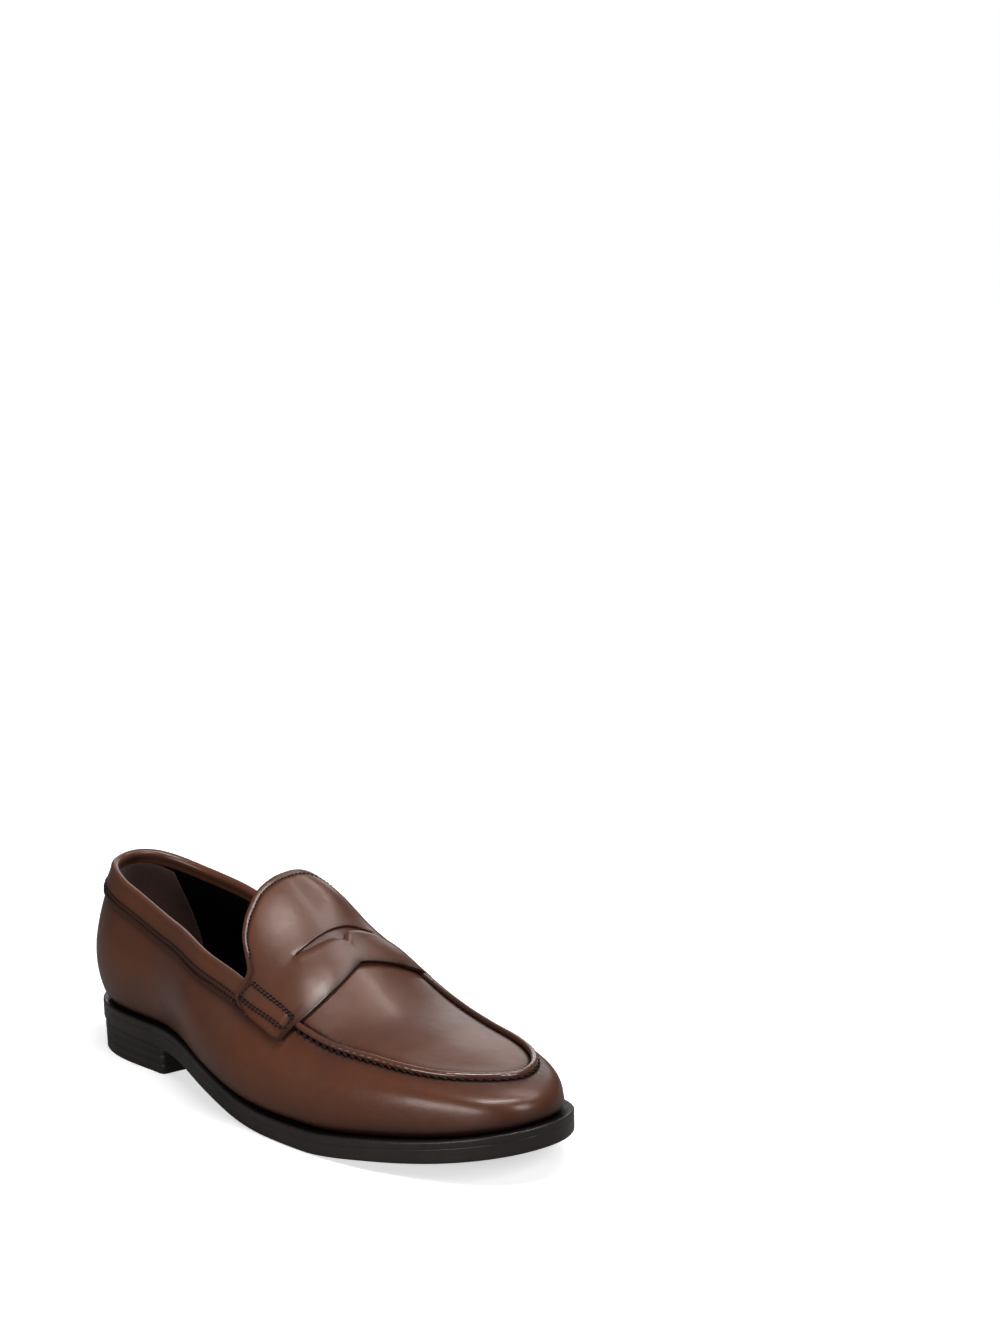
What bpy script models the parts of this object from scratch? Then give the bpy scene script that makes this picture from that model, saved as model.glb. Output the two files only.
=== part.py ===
"""Penny loafer for the right foot, EU size 42, built from its separate pieces.

Frame: +X towards the toe, +Y towards the inner side of the foot, +Z up. The origin lies on the ground
in the middle of the shoe's box. Every length below is in millimetres, with X counted from the back of
the outsole; place() turns it into metres in that frame.

The upper is drawn on one surface, the last. A point of it has a turn, from 0 at the back of the heel
along the outer side to the toe and back along the inner side to 1, and a share, from 0 at the sole to
1 on the ridge of the foot.
"""

import bpy
import bmesh
import numpy as np
from mathutils import Vector

MM = 0.001
ORIGIN_X = 148.67
ORIGIN_Y = 0.39

# The last. Outline of the outsole: x, y, from the back of the heel along the outer side.
OUTSOLE_OUTLINE = [
    (0, 0), (7, -18.7), (28.5, -30.5), (72, -33.3), (111, -42.5), (152, -50.5), (193.5, -52.5),
    (232, -48), (267, -37.5), (292.5, -21), (300, 1.5), (292.5, 22), (271, 39), (238, 50.5),
    (202, 55.5), (162, 43.5), (123.5, 26.5), (72, 33.3), (28.5, 31), (7, 18.7),
]
# x, then the value there.
WELT_MARGIN = [(0, 3), (120, 3), (200, 4.5), (300, 4.5)]
FEATHER_HEIGHT = [
    (0, 25.5), (50, 24.8), (80, 23.8), (120, 18), (160, 11.2), (200, 10), (240, 14.4), (270, 19.2), (300, 26),
]
SOLE_EDGE = [(0, 9.6), (90, 11.2), (200, 10.1), (300, 10.8)]
RIDGE_HEIGHT = [
    (0, 116.5), (60, 117), (100, 110.5), (125, 99.5), (150, 82.5), (175, 67.3), (200, 53.8), (225, 47),
    (250, 43.6), (275, 40.8), (300, 37.5),
]
RIDGE_Y = [(0, 0), (50, 0.5), (90, 4), (125, 7), (165, 7), (200, 4), (245, 3), (300, 6)]
RIDGE_ROUNDING = 9.0
HEEL_CENTRE_X = 38
TOE_CENTRE_X = 248
BALL_SKEW = 0.15
SKEW_FROM_X = 70
SKEW_LENGTH = 50
# Cross-sections: x, then five widths and five heights of the section's control points, as shares.
SECTIONS = [
    (0, 1.07, 1.19, 1.08, 0.87, 0.58, 0.08, 0.25, 0.50, 0.73, 0.97),
    (38, 1.15, 1.26, 1.09, 0.84, 0.53, 0.07, 0.25, 0.48, 0.70, 0.97),
    (110, 1.16, 1.27, 1.12, 0.80, 0.44, 0.07, 0.25, 0.48, 0.75, 0.98),
    (160, 1.11, 1.17, 1.02, 0.75, 0.41, 0.08, 0.27, 0.58, 0.83, 0.99),
    (205, 1.03, 1.06, 0.98, 0.77, 0.40, 0.10, 0.33, 0.68, 0.89, 0.97),
    (248, 1.02, 1.02, 0.97, 0.80, 0.39, 0.12, 0.38, 0.75, 0.94, 0.98),
    (300, 1.01, 0.99, 0.96, 0.79, 0.40, 0.14, 0.43, 0.79, 0.96, 0.98),
]
# The inner side is fuller round the instep: x, then the most it adds, and how much of that each width takes.
INNER_SWELL = [
    (0, 0),
    (20, 0.05),
    (80, 0.22),
    (105, 0.70),
    (130, 1.10),
    (150, 0.88),
    (170, 0.42),
    (195, 0.14),
    (230, 0),
    (300, 0),
]
SWELL_SHARES = (0, 0.1, 0.3, 0.7, 1.0)

# Edges drawn on the last. Topline: x, then its share on the outer and on the inner side.
TOPLINE = [
    (0, 0.765, 0.775), (20, 0.750, 0.728), (50, 0.695, 0.658), (64, 0.653, 0.628), (78, 0.625, 0.590),
    (100, 0.624, 0.542), (125, 0.637, 0.552), (142, 0.653, 0.585), (180, 0.655, 0.660), (300, 0.655, 0.660),
]
COLLAR_WIDTH = [(0, 14.2), (60, 12.8), (100, 11.8), (150, 11.2)]
# The seam round the apron, in plan, from the outer side under the strap round the toe.
APRON_SEAM = [
    (150, -39), (168, -39.2), (195, -37.2), (225, -30.8), (250, -24), (267, -12), (276.5, 5), (268.5, 22.5),
    (250, 32.8), (225, 38), (200, 41), (168, 38.5), (150, 36),
]
SEAM_START_X = 180
# The saddle, by the distance from the ridge, negative on the outer side.
SADDLE_REAR = [
    (-62.4, 146.5), (-61, 144), (-58, 142.8), (-52, 143.4), (-48, 142.6), (-44, 137.5), (-40.5, 132.6),
    (-35, 128.4), (-26, 124.4), (-18.5, 121.8), (-10, 120.6), (0, 120.2), (8, 120.8), (14, 123.6),
    (19, 127.6), (25, 132.4), (31, 137), (36, 140.8), (40, 141.9), (45, 140), (50, 138.8),
    (53, 140), (54.4, 142.5),
]
SADDLE_FRONT = [
    (-62.4, 173.5), (-60.8, 176), (-57.5, 177.6), (-54, 178.4), (-46, 180.2), (-37, 181), (-23, 179.6),
    (-12, 176.9), (-3, 174), (0, 173.2), (4, 173.9), (10, 175.4), (20, 178.2), (28, 180.4), (37, 181),
    (43, 180), (51, 177.4), (53, 175.5), (54.4, 173),
]
SADDLE_ENDS = (-62.4, 54.4)
SLOT_ENDS = (-26, 21)
TAB_CLIMB = 2.2
TONGUE_CROWN = 3.5
SLOT_REAR = [
    (-62.4, 155.6), (-26, 155.6), (-18.5, 155), (-9, 153.8), (0, 153), (9, 153.3), (15, 155), (21, 157.8),
    (54.4, 158),
]
SLOT_FRONT = [
    (-62.4, 158), (-26, 156.1), (-17, 157.2), (-8, 157.2), (-3, 157.6), (0.5, 159.8), (3.5, 157.4), (7, 156),
    (13, 156.4), (21, 158.4), (54.4, 160),
]
# Stitched boxes on the tabs: distance from the ridge of their upper and lower rows, at the rear and in front.
TAB_BOXES = [("lateral", -49.2, -47.2, -59.0, -56.8), ("medial", 40.5, 42.0, 50.2, 50.6)]

# Thicknesses, and the depth of each layer's outer face below the outer face of the wall.
LEATHER = 1.2
LINING = 0.8
LINING_DEPTH = 1.7
STIFFENER = 0.9
STIFFENER_DEPTH = 1.8
STIFFENER_ROOM = 1.6
COLLAR_LIFT = 1.4
COLLAR_LEATHER = 1.0
FACING_WIDTH = 4.0
SADDLE_LIFT = 3.0
TONGUE_LINING_LIFT = 1.5
MARGIN_INSETS = (12.0, 6.0, 1.2)
LINING_MARGIN_INSETS = (8.5, 5.0, 1.2)
FIRST_SHARE = 0.02
WALL_STEPS = (0.0, 0.13, 0.27, 0.41, 0.55, 0.69, 0.84, 1.0)
GRIP_END_X = 24
COUNTER_END_X = 62
COUNTER_TOP = 0.50
PUFF_START_X = 240
PUFF_TOP = 0.46
STIFFENER_FADE_X = 14
STIFFENER_FADE_SHARE = 0.12

# The seam round the apron.
SEAM_HALF_GAP = 1.7
ROLL_RADIUS = 1.3
ROLL_LIFT = 0.9
THREAD_RADIUS = 0.45
THREAD_DROP = 2.3
THREAD_LIFT = 0.8
BACK_HALF_GAP = 0.9
BACK_THREAD_RADIUS = 0.45
STITCHING_RADIUS = 0.4
STITCHING_LIFT = 0.75

# The bottom: heights above the feather line, which is the top of the welt.
GAP = 0.3
WELT_WIDTH = 9
WELT_THICKNESS = 3.2
SOLE_TOP = -3.8
FILLER_TOP = 0.9
FILLER_INSET = 13
SHANK_TOP = 2.5
SHANK_THICKNESS = 1.2
SHANK_X = (66, 176)
SHANK_HALF_WIDTH = 7
INSOLE_TOP = 4.8
INSOLE_THICKNESS = 2.0
INSOLE_INSET = 5.6
PAD_THICKNESS = 1.7
PAD_END_X = 80
SOCK_TOP = 6.1
SOCK_THICKNESS = 1.0
SOCK_RISE = [(0, 2.0), (84, 2.0), (112, 0), (300, 0)]

# The heel: heights above the ground.
BREAST_X = (71, 83)
HEEL_INSETS = (0.8, 1.2, 1.6)
TOP_PIECE_HEIGHT = 4.8
LOWER_LIFT_TOP = 9.6
UPPER_LIFT_TOP = 18
GROOVE_X = 43
GROOVE_WIDTH = 1.6
NAIL_RADIUS = 1.1
NAIL_HOLE_RADIUS = 1.5
NAIL_FOOT = 6.6
NAIL_HOLE_FOOT = 6.0
NAIL_HEAD_BELOW_INSOLE = 0.3
NAIL_PLACES = [(20, 0), (34, -10), (34, 10), (58, -11), (58, 11)]

# Mesh fineness.
FINE = 1440
SIDE_STEPS = 24
HEEL_STEPS = 6
TOE_STEPS = 16

# name: base colour, roughness, metallic
FINISHES = {
    "calf": ((0.155, 0.070, 0.045), 0.38, 0.0),
    "calf_edge": ((0.075, 0.034, 0.024), 0.5, 0.0),
    "thread": ((0.030, 0.014, 0.012), 0.7, 0.0),
    "suede": ((0.070, 0.036, 0.026), 0.9, 0.0),
    "black_lining": ((0.012, 0.010, 0.010), 0.75, 0.0),
    "sole_rubber": ((0.026, 0.022, 0.020), 0.45, 0.0),
    "heel_stack": ((0.022, 0.019, 0.018), 0.5, 0.0),
    "board": ((0.42, 0.31, 0.20), 0.85, 0.0),
    "cork": ((0.36, 0.22, 0.12), 0.9, 0.0),
    "foam": ((0.55, 0.50, 0.42), 0.9, 0.0),
    "stiffener": ((0.60, 0.55, 0.46), 0.8, 0.0),
    "steel": ((0.55, 0.56, 0.58), 0.35, 1.0),
}


# ---- numbers -------------------------------------------------------------------------------------
def interpolate(table, x):
    """A smooth curve through the rows (x, value, ...) of a table, without overshoot."""
    rows = np.asarray(table, float)
    knots = rows[:, 0]
    values = rows[:, 1:]
    x = np.clip(np.asarray(x, float), knots[0], knots[-1])
    steps = np.diff(knots)
    slopes = np.diff(values, axis=0) / steps[:, None]
    tangents = np.zeros_like(values)
    mean = (slopes[:-1] * steps[1:, None] + slopes[1:] * steps[:-1, None]) / (steps[1:] + steps[:-1])[:, None]
    limit = 3 * np.minimum(np.abs(slopes[:-1]), np.abs(slopes[1:]))
    rising = slopes[:-1] * slopes[1:] > 0
    tangents[1:-1] = np.where(rising, np.sign(mean) * np.minimum(np.abs(mean), limit), 0)
    tangents[0] = slopes[0]
    tangents[-1] = slopes[-1]
    i = np.clip(np.searchsorted(knots, x, side="right") - 1, 0, len(knots) - 2)
    u = ((x - knots[i]) / steps[i])[..., None]
    h = steps[i][..., None]
    result = (
        (2 * u**3 - 3 * u**2 + 1) * values[i]
        + (u**3 - 2 * u**2 + u) * h * tangents[i]
        + (3 * u**2 - 2 * u**3) * values[i + 1]
        + (u**3 - u**2) * h * tangents[i + 1]
    )
    return result[..., 0] if result.shape[-1] == 1 else result


def smooth_step(value):
    value = np.clip(value, 0, 1)
    return value * value * (3 - 2 * value)


def spline(points, count, closed):
    """count points, evenly spaced, on a cubic spline through points."""
    p = np.asarray(points, float)
    size = len(p)
    following = np.roll(p, -1, 0) if closed else np.vstack([p[1:], p[-1:]])
    spans = np.linalg.norm(following - p, axis=1)
    matrix = np.zeros((size, size))
    right = np.zeros_like(p)
    for i in range(size):
        if not closed and i in (0, size - 1):
            matrix[i, i] = 1
            continue
        before = spans[i - 1]
        after = spans[i]
        matrix[i, i - 1] += before
        matrix[i, i] += 2 * (before + after)
        matrix[i, (i + 1) % size] += after
        right[i] = 6 * ((following[i] - p[i]) / after - (p[i] - p[i - 1]) / before)
    bend = np.linalg.solve(matrix, right)
    spans = spans if closed else spans[:-1]
    ends = np.concatenate([[0], np.cumsum(spans)])
    t = np.linspace(0, ends[-1], 4 * count)
    i = np.clip(np.searchsorted(ends, t, side="right") - 1, 0, len(spans) - 1)
    j = (i + 1) % size
    h = spans[i][:, None]
    u = (t - ends[i])[:, None]
    w = h - u
    dense = (bend[i] * w**3 + bend[j] * u**3) / (6 * h)
    dense += (p[i] / h - bend[i] * h / 6) * w + (p[j] / h - bend[j] * h / 6) * u
    return evenly(dense, count, closed)


def evenly(path, count, closed):
    """count points at equal distances along a path; a closed path doesn't repeat its first point."""
    lengths = np.concatenate([[0], np.cumsum(np.linalg.norm(np.diff(path, axis=0), axis=1))])
    wanted = np.linspace(0, lengths[-1], count, endpoint=not closed)
    return np.stack([np.interp(wanted, lengths, path[:, k]) for k in range(path.shape[1])], 1)


def inward(path):
    """Unit normals, to the left of travel, of a closed plan path."""
    tangent = np.roll(path, -1, 0) - np.roll(path, 1, 0)
    tangent /= np.linalg.norm(tangent, axis=1)[:, None]
    return np.stack([-tangent[:, 1], tangent[:, 0]], 1)


# ---- the last ------------------------------------------------------------------------------------
OUTLINE = spline(OUTSOLE_OUTLINE, FINE, closed=True)
INWARD = inward(OUTLINE)
FEATHER = OUTLINE + INWARD * interpolate(WELT_MARGIN, OUTLINE[:, 0])[:, None]
TIP = int(np.argmax(FEATHER[:, 0]))


def along_ring(values, turn):
    """Values kept at FINE even turns, read at any turns."""
    turn = np.asarray(turn, float) % 1.0 * FINE
    low = np.floor(turn).astype(int) % FINE
    part = (turn - np.floor(turn))[..., None]
    return values[low] * (1 - part) + values[(low + 1) % FINE] * part


def turn_at(x, side):
    """The turn where the feather line has this x, on the outer side (-1) or the inner side (+1)."""
    turns = np.arange(FINE) / FINE
    if side < 0:
        return float(np.interp(x, FEATHER[: TIP + 1, 0], turns[: TIP + 1]))
    back = np.append(FEATHER[TIP:, 0], FEATHER[0, 0])[::-1]
    return float(np.interp(x, back, np.append(turns[TIP:], 1.0)[::-1]))


def feather_height(x, y):
    """Height of the top of the sole: level across the foot at the heel, slanted at the ball."""
    skewed = x - BALL_SKEW * y * smooth_step((x - SKEW_FROM_X) / SKEW_LENGTH)
    return interpolate(FEATHER_HEIGHT, skewed)


def spine(feather_x):
    """The point in the middle of the shoe that a turn's cross-section runs to."""
    x = np.clip(feather_x, HEEL_CENTRE_X, TOE_CENTRE_X)
    return np.stack([x, interpolate(RIDGE_Y, x)], -1)


def blend_weights(share):
    """Weights of a section's seven control points: a clamped cubic B-spline."""
    share = np.clip(np.asarray(share, float), 0, 1 - 1e-12)
    knots = np.concatenate([np.zeros(3), np.linspace(0, 1, 5), np.ones(3)])
    weights = [((share >= a) & (share < b)).astype(float) for a, b in zip(knots[:-1], knots[1:])]
    for degree in (1, 2, 3):
        raised = []
        for i in range(len(weights) - 1):
            total = np.zeros_like(share)
            if knots[i + degree] > knots[i]:
                total = total + (share - knots[i]) / (knots[i + degree] - knots[i]) * weights[i]
            if knots[i + degree + 1] > knots[i + 1]:
                rest = (knots[i + degree + 1] - share) / (knots[i + degree + 1] - knots[i + 1])
                total = total + rest * weights[i + 1]
            raised.append(total)
        weights = raised
    return np.stack(weights, -1)


def last_point(turn, share):
    """Points of the last, for arrays of turns and shares of one shape."""
    turn, share = np.broadcast_arrays(np.asarray(turn, float), np.asarray(share, float))
    feather = along_ring(FEATHER, turn)
    section = interpolate(SECTIONS, feather[..., 0])
    ones = np.ones(turn.shape + (1,))
    inner = (turn % 1.0 > TIP / FINE) * interpolate(INNER_SWELL, feather[..., 0])
    swell = 1 + inner[..., None] * np.array(SWELL_SHARES)
    widths = np.concatenate([ones, section[..., :5] * swell, 0 * ones], -1)
    heights = np.concatenate([0 * ones, section[..., 5:], ones], -1)
    weights = blend_weights(share)
    middle = spine(feather[..., 0])
    reach = feather - middle
    plan = middle + reach * (widths * weights).sum(-1)[..., None]
    tall = interpolate(RIDGE_HEIGHT, feather[..., 0]) - feather_height(feather[..., 0], feather[..., 1])
    height = interpolate(RIDGE_HEIGHT, plan[..., 0]) - tall * (1 - (heights * weights).sum(-1))
    # The two sides would meet at a slight edge on the ridge; this rounds it.
    slope = (1 - section[..., 9]) * tall / (widths[..., 5] * np.linalg.norm(reach, axis=-1))
    away = np.linalg.norm(plan - middle, axis=-1)
    height = height + slope * away * np.exp(-away / RIDGE_ROUNDING)
    return np.concatenate([plan, height[..., None]], -1)


def last_normal(turn, share):
    step = 0.5 / FINE
    share = np.clip(np.asarray(share, float), 0, 0.985)
    low = np.clip(share - 0.01, 0, 1)
    high = share + 0.01
    round_it = last_point(np.asarray(turn) + step, share) - last_point(np.asarray(turn) - step, share)
    up_it = last_point(turn, high) - last_point(turn, low)
    normal = np.cross(round_it, up_it)
    return normal / np.linalg.norm(normal, axis=-1)[..., None]


def skin(turn, share, lift):
    """Points at a distance outside (or, if negative, inside) the last."""
    return last_point(turn, share) + last_normal(turn, share) * np.asarray(lift, float)[..., None]


def share_along(turn, share, distance):
    """The share reached by going this far up the surface from a share."""
    step = 0.01
    ahead, behind = last_point(turn, share + step), last_point(turn, share - step)
    speed = np.linalg.norm(ahead - behind, axis=-1) / (2 * step)
    return share + distance / speed


# ---- stations and edges --------------------------------------------------------------------------
def ring_turns():
    """Turns of the mesh columns: fans at the heel and toe, and pairs at equal x on the two sides."""
    xs = np.linspace(HEEL_CENTRE_X, TOE_CENTRE_X, SIDE_STEPS + 1)
    outer = np.array([turn_at(x, -1) for x in xs])
    inner = np.array([turn_at(x, 1) for x in xs])[::-1]
    heel_out = np.linspace(0, outer[0], HEEL_STEPS + 1)[:-1]
    toe = np.linspace(outer[-1], inner[0], TOE_STEPS + 1)[1:-1]
    heel_in = np.linspace(inner[-1], 1, HEEL_STEPS + 1)[1:-1]
    return np.concatenate([heel_out, outer, toe, inner, heel_in])


RING = ring_turns()
PERIMETER = np.linalg.norm(np.diff(FEATHER, axis=0), axis=1).sum()


def turns_between(start, end, gap=0.2):
    """The ring's turns from start to end, each end drawn in by a gap in mm. start may be negative."""
    low = start + gap / PERIMETER
    high = end - gap / PERIMETER
    around = np.concatenate([RING - 1, RING, RING + 1])
    inside = around[(around > low + 0.0005) & (around < high - 0.0005)]
    return np.concatenate([[low], inside, [high]])


def topline_ring():
    """The topline's share at FINE even turns, faired along the ring."""
    x = FEATHER[:, 0]
    both = interpolate(TOPLINE, x)
    own = np.where(np.arange(FINE) < TIP, both[:, 0], both[:, 1])
    mix = smooth_step((x + 2) / 14)
    share = both.mean(-1) * (1 - mix) + own * mix
    reach = np.arange(-35, 36)
    weights = np.exp(-((reach / 16.0) ** 2))
    weights = weights / weights.sum()
    return sum(w * np.roll(share, k) for w, k in zip(weights, reach))


TOPLINE_RING = topline_ring()[:, None]


def topline_share(turn):
    return along_ring(TOPLINE_RING, turn)[..., 0]


def seam_loop():
    """The apron seam as a closed plan outline."""
    return spline(APRON_SEAM, 400, closed=False)


def inside(outline, points):
    """Which plan points lie in a closed plan outline."""
    a = outline
    b = np.roll(outline, -1, 0)
    x = points[..., 0, None]
    y = points[..., 1, None]
    crosses = (a[:, 1] > y) != (b[:, 1] > y)
    span = np.where(np.abs(b[:, 1] - a[:, 1]) < 1e-9, 1e-9, b[:, 1] - a[:, 1])
    hit = x < a[:, 0] + (y - a[:, 1]) * (b[:, 0] - a[:, 0]) / span
    return (crosses & hit).sum(-1) % 2 == 1


def seam_share(turn):
    """The share where a section meets the apron seam; behind the seam's start it follows the topline."""
    turn = np.atleast_1d(turn)
    loop = seam_loop()
    low = np.full(turn.shape, 0.35)
    high = np.full(turn.shape, 1.0)
    for _ in range(22):
        middle = (low + high) / 2
        within = inside(loop, last_point(turn, middle)[..., :2])
        high = np.where(within, middle, high)
        low = np.where(within, low, middle)
    front = smooth_step((along_ring(FEATHER, turn)[..., 0] - SEAM_START_X + 6) / 12)
    return topline_share(turn) * (1 - front) + high * front


def stiffener_room(turn, share):
    """How much deeper the lining lies where the counter or the toe puff is, from 0 to 1."""
    x = along_ring(FEATHER, turn)[..., 0]
    behind = smooth_step((COUNTER_END_X + 4 + STIFFENER_FADE_X - x) / STIFFENER_FADE_X)
    ahead = smooth_step((x - PUFF_START_X + 4 + STIFFENER_FADE_X) / STIFFENER_FADE_X)
    under_counter = smooth_step((COUNTER_TOP + 0.03 + STIFFENER_FADE_SHARE - share) / STIFFENER_FADE_SHARE)
    under_puff = smooth_step((PUFF_TOP + 0.03 + STIFFENER_FADE_SHARE - share) / STIFFENER_FADE_SHARE)
    return behind * under_counter + ahead * under_puff


def lining_depth(turn, share):
    return LINING_DEPTH + STIFFENER_ROOM * stiffener_room(turn, share)


# ---- the saddle's own grid -----------------------------------------------------------------------
SADDLE_X = np.arange(110, 192.1, 2.0)
SADDLE_ARC = np.arange(-66, 66.1, 2.0)


def saddle_table():
    """Points over the instep, by x and by the distance from the ridge, negative on the outer side."""
    shares = np.linspace(0.05, 1, 96)
    table = np.zeros((len(SADDLE_X), len(SADDLE_ARC), 3))
    for i, x in enumerate(SADDLE_X):
        outer = last_point(np.full(len(shares), turn_at(x, -1)), shares)
        inner = last_point(np.full(len(shares), turn_at(x, 1)), shares)
        path = np.vstack([outer, inner[-2::-1]])
        arc = np.concatenate([[0], np.cumsum(np.linalg.norm(np.diff(path, axis=0), axis=1))])
        arc -= arc[len(shares) - 1]
        for k in range(3):
            table[i, :, k] = np.interp(SADDLE_ARC, arc, path[:, k])
    return table


SADDLE_POINTS = saddle_table()
SADDLE_NORMALS = np.cross(np.gradient(SADDLE_POINTS, axis=0), np.gradient(SADDLE_POINTS, axis=1))
SADDLE_NORMALS /= np.linalg.norm(SADDLE_NORMALS, axis=-1)[..., None]


def over_instep(x, arc, lift):
    """Points over the instep at a height above the last; the tongue's inner side stands off it."""
    x, arc = np.broadcast_arrays(np.asarray(x, float), np.asarray(arc, float))
    crown = smooth_step((arc + 2) / 20) * smooth_step((46 - arc) / 16) * smooth_step((156 - x) / 24)
    lift = np.asarray(lift, float) + TONGUE_CROWN * crown
    u = np.clip((x - SADDLE_X[0]) / 2.0, 0, len(SADDLE_X) - 1.001)
    v = np.clip((arc - SADDLE_ARC[0]) / 2.0, 0, len(SADDLE_ARC) - 1.001)
    i = u.astype(int)
    j = v.astype(int)
    u = (u - i)[..., None]
    v = (v - j)[..., None]

    def read(table):
        rear = table[i, j] * (1 - v) + table[i, j + 1] * v
        front = table[i + 1, j] * (1 - v) + table[i + 1, j + 1] * v
        return rear * (1 - u) + front * u

    return read(SADDLE_POINTS) + read(SADDLE_NORMALS) * lift[..., None]


# ---- Blender helpers -----------------------------------------------------------------------------
def place(points):
    """Millimetres from the back of the outsole to metres in the part's frame."""
    return (np.asarray(points, float) - (ORIGIN_X, ORIGIN_Y, 0)) * MM


def clear_scene():
    for old in list(bpy.data.objects):
        bpy.data.objects.remove(old, do_unlink=True)


def make_collection(name):
    collection = bpy.data.collections.new(name)
    bpy.context.scene.collection.children.link(collection)
    return collection


def make_material(name, finish):
    colour, roughness, metallic = FINISHES[finish]
    material = bpy.data.materials.new(name)
    material.use_nodes = True
    shader = material.node_tree.nodes["Principled BSDF"]
    shader.inputs["Base Color"].default_value = (*colour, 1)
    shader.inputs["Roughness"].default_value = roughness
    shader.inputs["Metallic"].default_value = metallic
    material.diffuse_color = (*colour, 1)
    return material


def add_object(name, data, finish):
    data.materials.append(make_material(name, finish))
    piece = bpy.data.objects.new(name, data)
    PARTS.objects.link(piece)
    return piece


def grid_mesh(name, grid, closed=False, skipped=None):
    """A mesh of quads through points (columns, rows, 3), facing to the left of the rows."""
    columns, rows = grid.shape[:2]
    mesh = bmesh.new()
    corners = [[mesh.verts.new(place(grid[i, j])) for j in range(rows)] for i in range(columns)]
    for i in range(columns if closed else columns - 1):
        after = corners[(i + 1) % columns]
        for j in range(rows - 1):
            if skipped is None or not skipped(i, j):
                mesh.faces.new((corners[i][j], after[j], after[j + 1], corners[i][j + 1]))
    bmesh.ops.remove_doubles(mesh, verts=mesh.verts, dist=1e-5)
    bmesh.ops.dissolve_degenerate(mesh, edges=mesh.edges, dist=1e-6)
    data = bpy.data.meshes.new(name)
    mesh.to_mesh(data)
    mesh.free()
    data.shade_smooth()
    return data


def shell(name, grid, thickness, finish, closed=False, skipped=None):
    """A sheet whose outer face is the grid and whose thickness goes inwards."""
    piece = add_object(name, grid_mesh(name, grid, closed, skipped), finish)
    wall = piece.modifiers.new("thickness", "SOLIDIFY")
    wall.thickness = thickness * MM
    wall.offset = -1
    return piece


def tube(name, path, radius, finish, closed=False):
    """A thread or piping: a round tube along a path."""
    data = bpy.data.curves.new(name, "CURVE")
    data.dimensions = "3D"
    data.bevel_depth = radius * MM
    data.bevel_resolution = 1
    data.use_fill_caps = not closed
    line = data.splines.new("POLY")
    line.points.add(len(path) - 1)
    for point, co in zip(line.points, place(path)):
        point.co = (*co, 1)
    line.use_cyclic_u = closed
    return add_object(name, data, finish)


def slab(name, outline, low, high, finish):
    """A flat plan outline between two heights, as a mesh."""
    data = bpy.data.curves.new(name, "CURVE")
    data.dimensions = "2D"
    data.fill_mode = "BOTH"
    data.extrude = (high - low) / 2 * MM
    line = data.splines.new("POLY")
    line.points.add(len(outline) - 1)
    flat = np.column_stack([outline, np.zeros(len(outline))])
    for point, co in zip(line.points, place(flat)):
        point.co = (*co, 1)
    line.use_cyclic_u = True
    drawn = bpy.data.objects.new(name + "_outline", data)
    bpy.context.scene.collection.objects.link(drawn)
    drawn.location = Vector((0, 0, (low + high) / 2 * MM))
    bpy.context.view_layer.update()
    solid = bpy.data.meshes.new_from_object(drawn.evaluated_get(bpy.context.evaluated_depsgraph_get()))
    solid.transform(drawn.matrix_world)
    bpy.data.objects.remove(drawn, do_unlink=True)
    mesh = bmesh.new()
    mesh.from_mesh(solid)
    bmesh.ops.remove_doubles(mesh, verts=mesh.verts, dist=1e-5)
    bmesh.ops.recalc_face_normals(mesh, faces=mesh.faces)
    mesh.to_mesh(solid)
    mesh.free()
    solid.name = name
    solid.materials.clear()
    return add_object(name, solid, finish)


def as_cutter(piece):
    PARTS.objects.unlink(piece)
    CUTTERS.objects.link(piece)
    piece.display_type = "WIRE"
    piece.hide_render = True
    return piece


def cut(piece, cutter):
    boolean = piece.modifiers.new("cut_" + cutter.name, "BOOLEAN")
    boolean.operation = "DIFFERENCE"
    boolean.solver = "EXACT"
    boolean.object = cutter


# ---- shared grids --------------------------------------------------------------------------------
def wall_grid(turns, depth, under, top_share, margins):
    """Outer face of a wall layer: its margin turned in under the insole, then up to top_share.

    depth(turn, share) is how far it lies inside the last, and under is its height over the feather.
    """
    feather = along_ring(FEATHER, turns)
    towards = along_ring(INWARD, turns)
    columns = []
    for inset in margins:
        plan = feather + towards * (inset + depth(turns, np.zeros(len(turns))))[:, None]
        columns.append(np.column_stack([plan, feather_height(plan[:, 0], plan[:, 1]) + under]))
    for step in WALL_STEPS:
        share = FIRST_SHARE + (top_share - FIRST_SHARE) * step
        point = skin(turns, share, -depth(turns, share))
        lifted = point[:, 2] + under * (1 - smooth_step(share / 0.15))
        columns.append(np.column_stack([point[:, :2], lifted]))
    return np.stack(columns, 1)


def strip_grid(turns, low_share, high_share, lift, rows):
    """Outer face of a band between two shares."""
    steps = np.linspace(0, 1, rows)
    lifts = lift * np.ones(len(turns))
    return np.stack([skin(turns, low_share + (high_share - low_share) * t, lifts) for t in steps], 1)


def plate_grid(edge, height, rows=(1.0, 0.6, 0.25, 0.0)):
    """Upper face of a plate from its edge, one point for each of the ring's turns, in to the spine."""
    middle = spine(along_ring(FEATHER, RING)[:, 0])
    columns = []
    for row in rows:
        plan = middle + (edge - middle) * row
        columns.append(np.column_stack([plan, height(plan[:, 0], plan[:, 1])]))
    return np.stack(columns, 1)


def edge_inset(distance):
    return along_ring(FEATHER, RING) + along_ring(INWARD, RING) * distance


def above_feather(offset):
    return lambda x, y: feather_height(x, y) + offset


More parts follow.
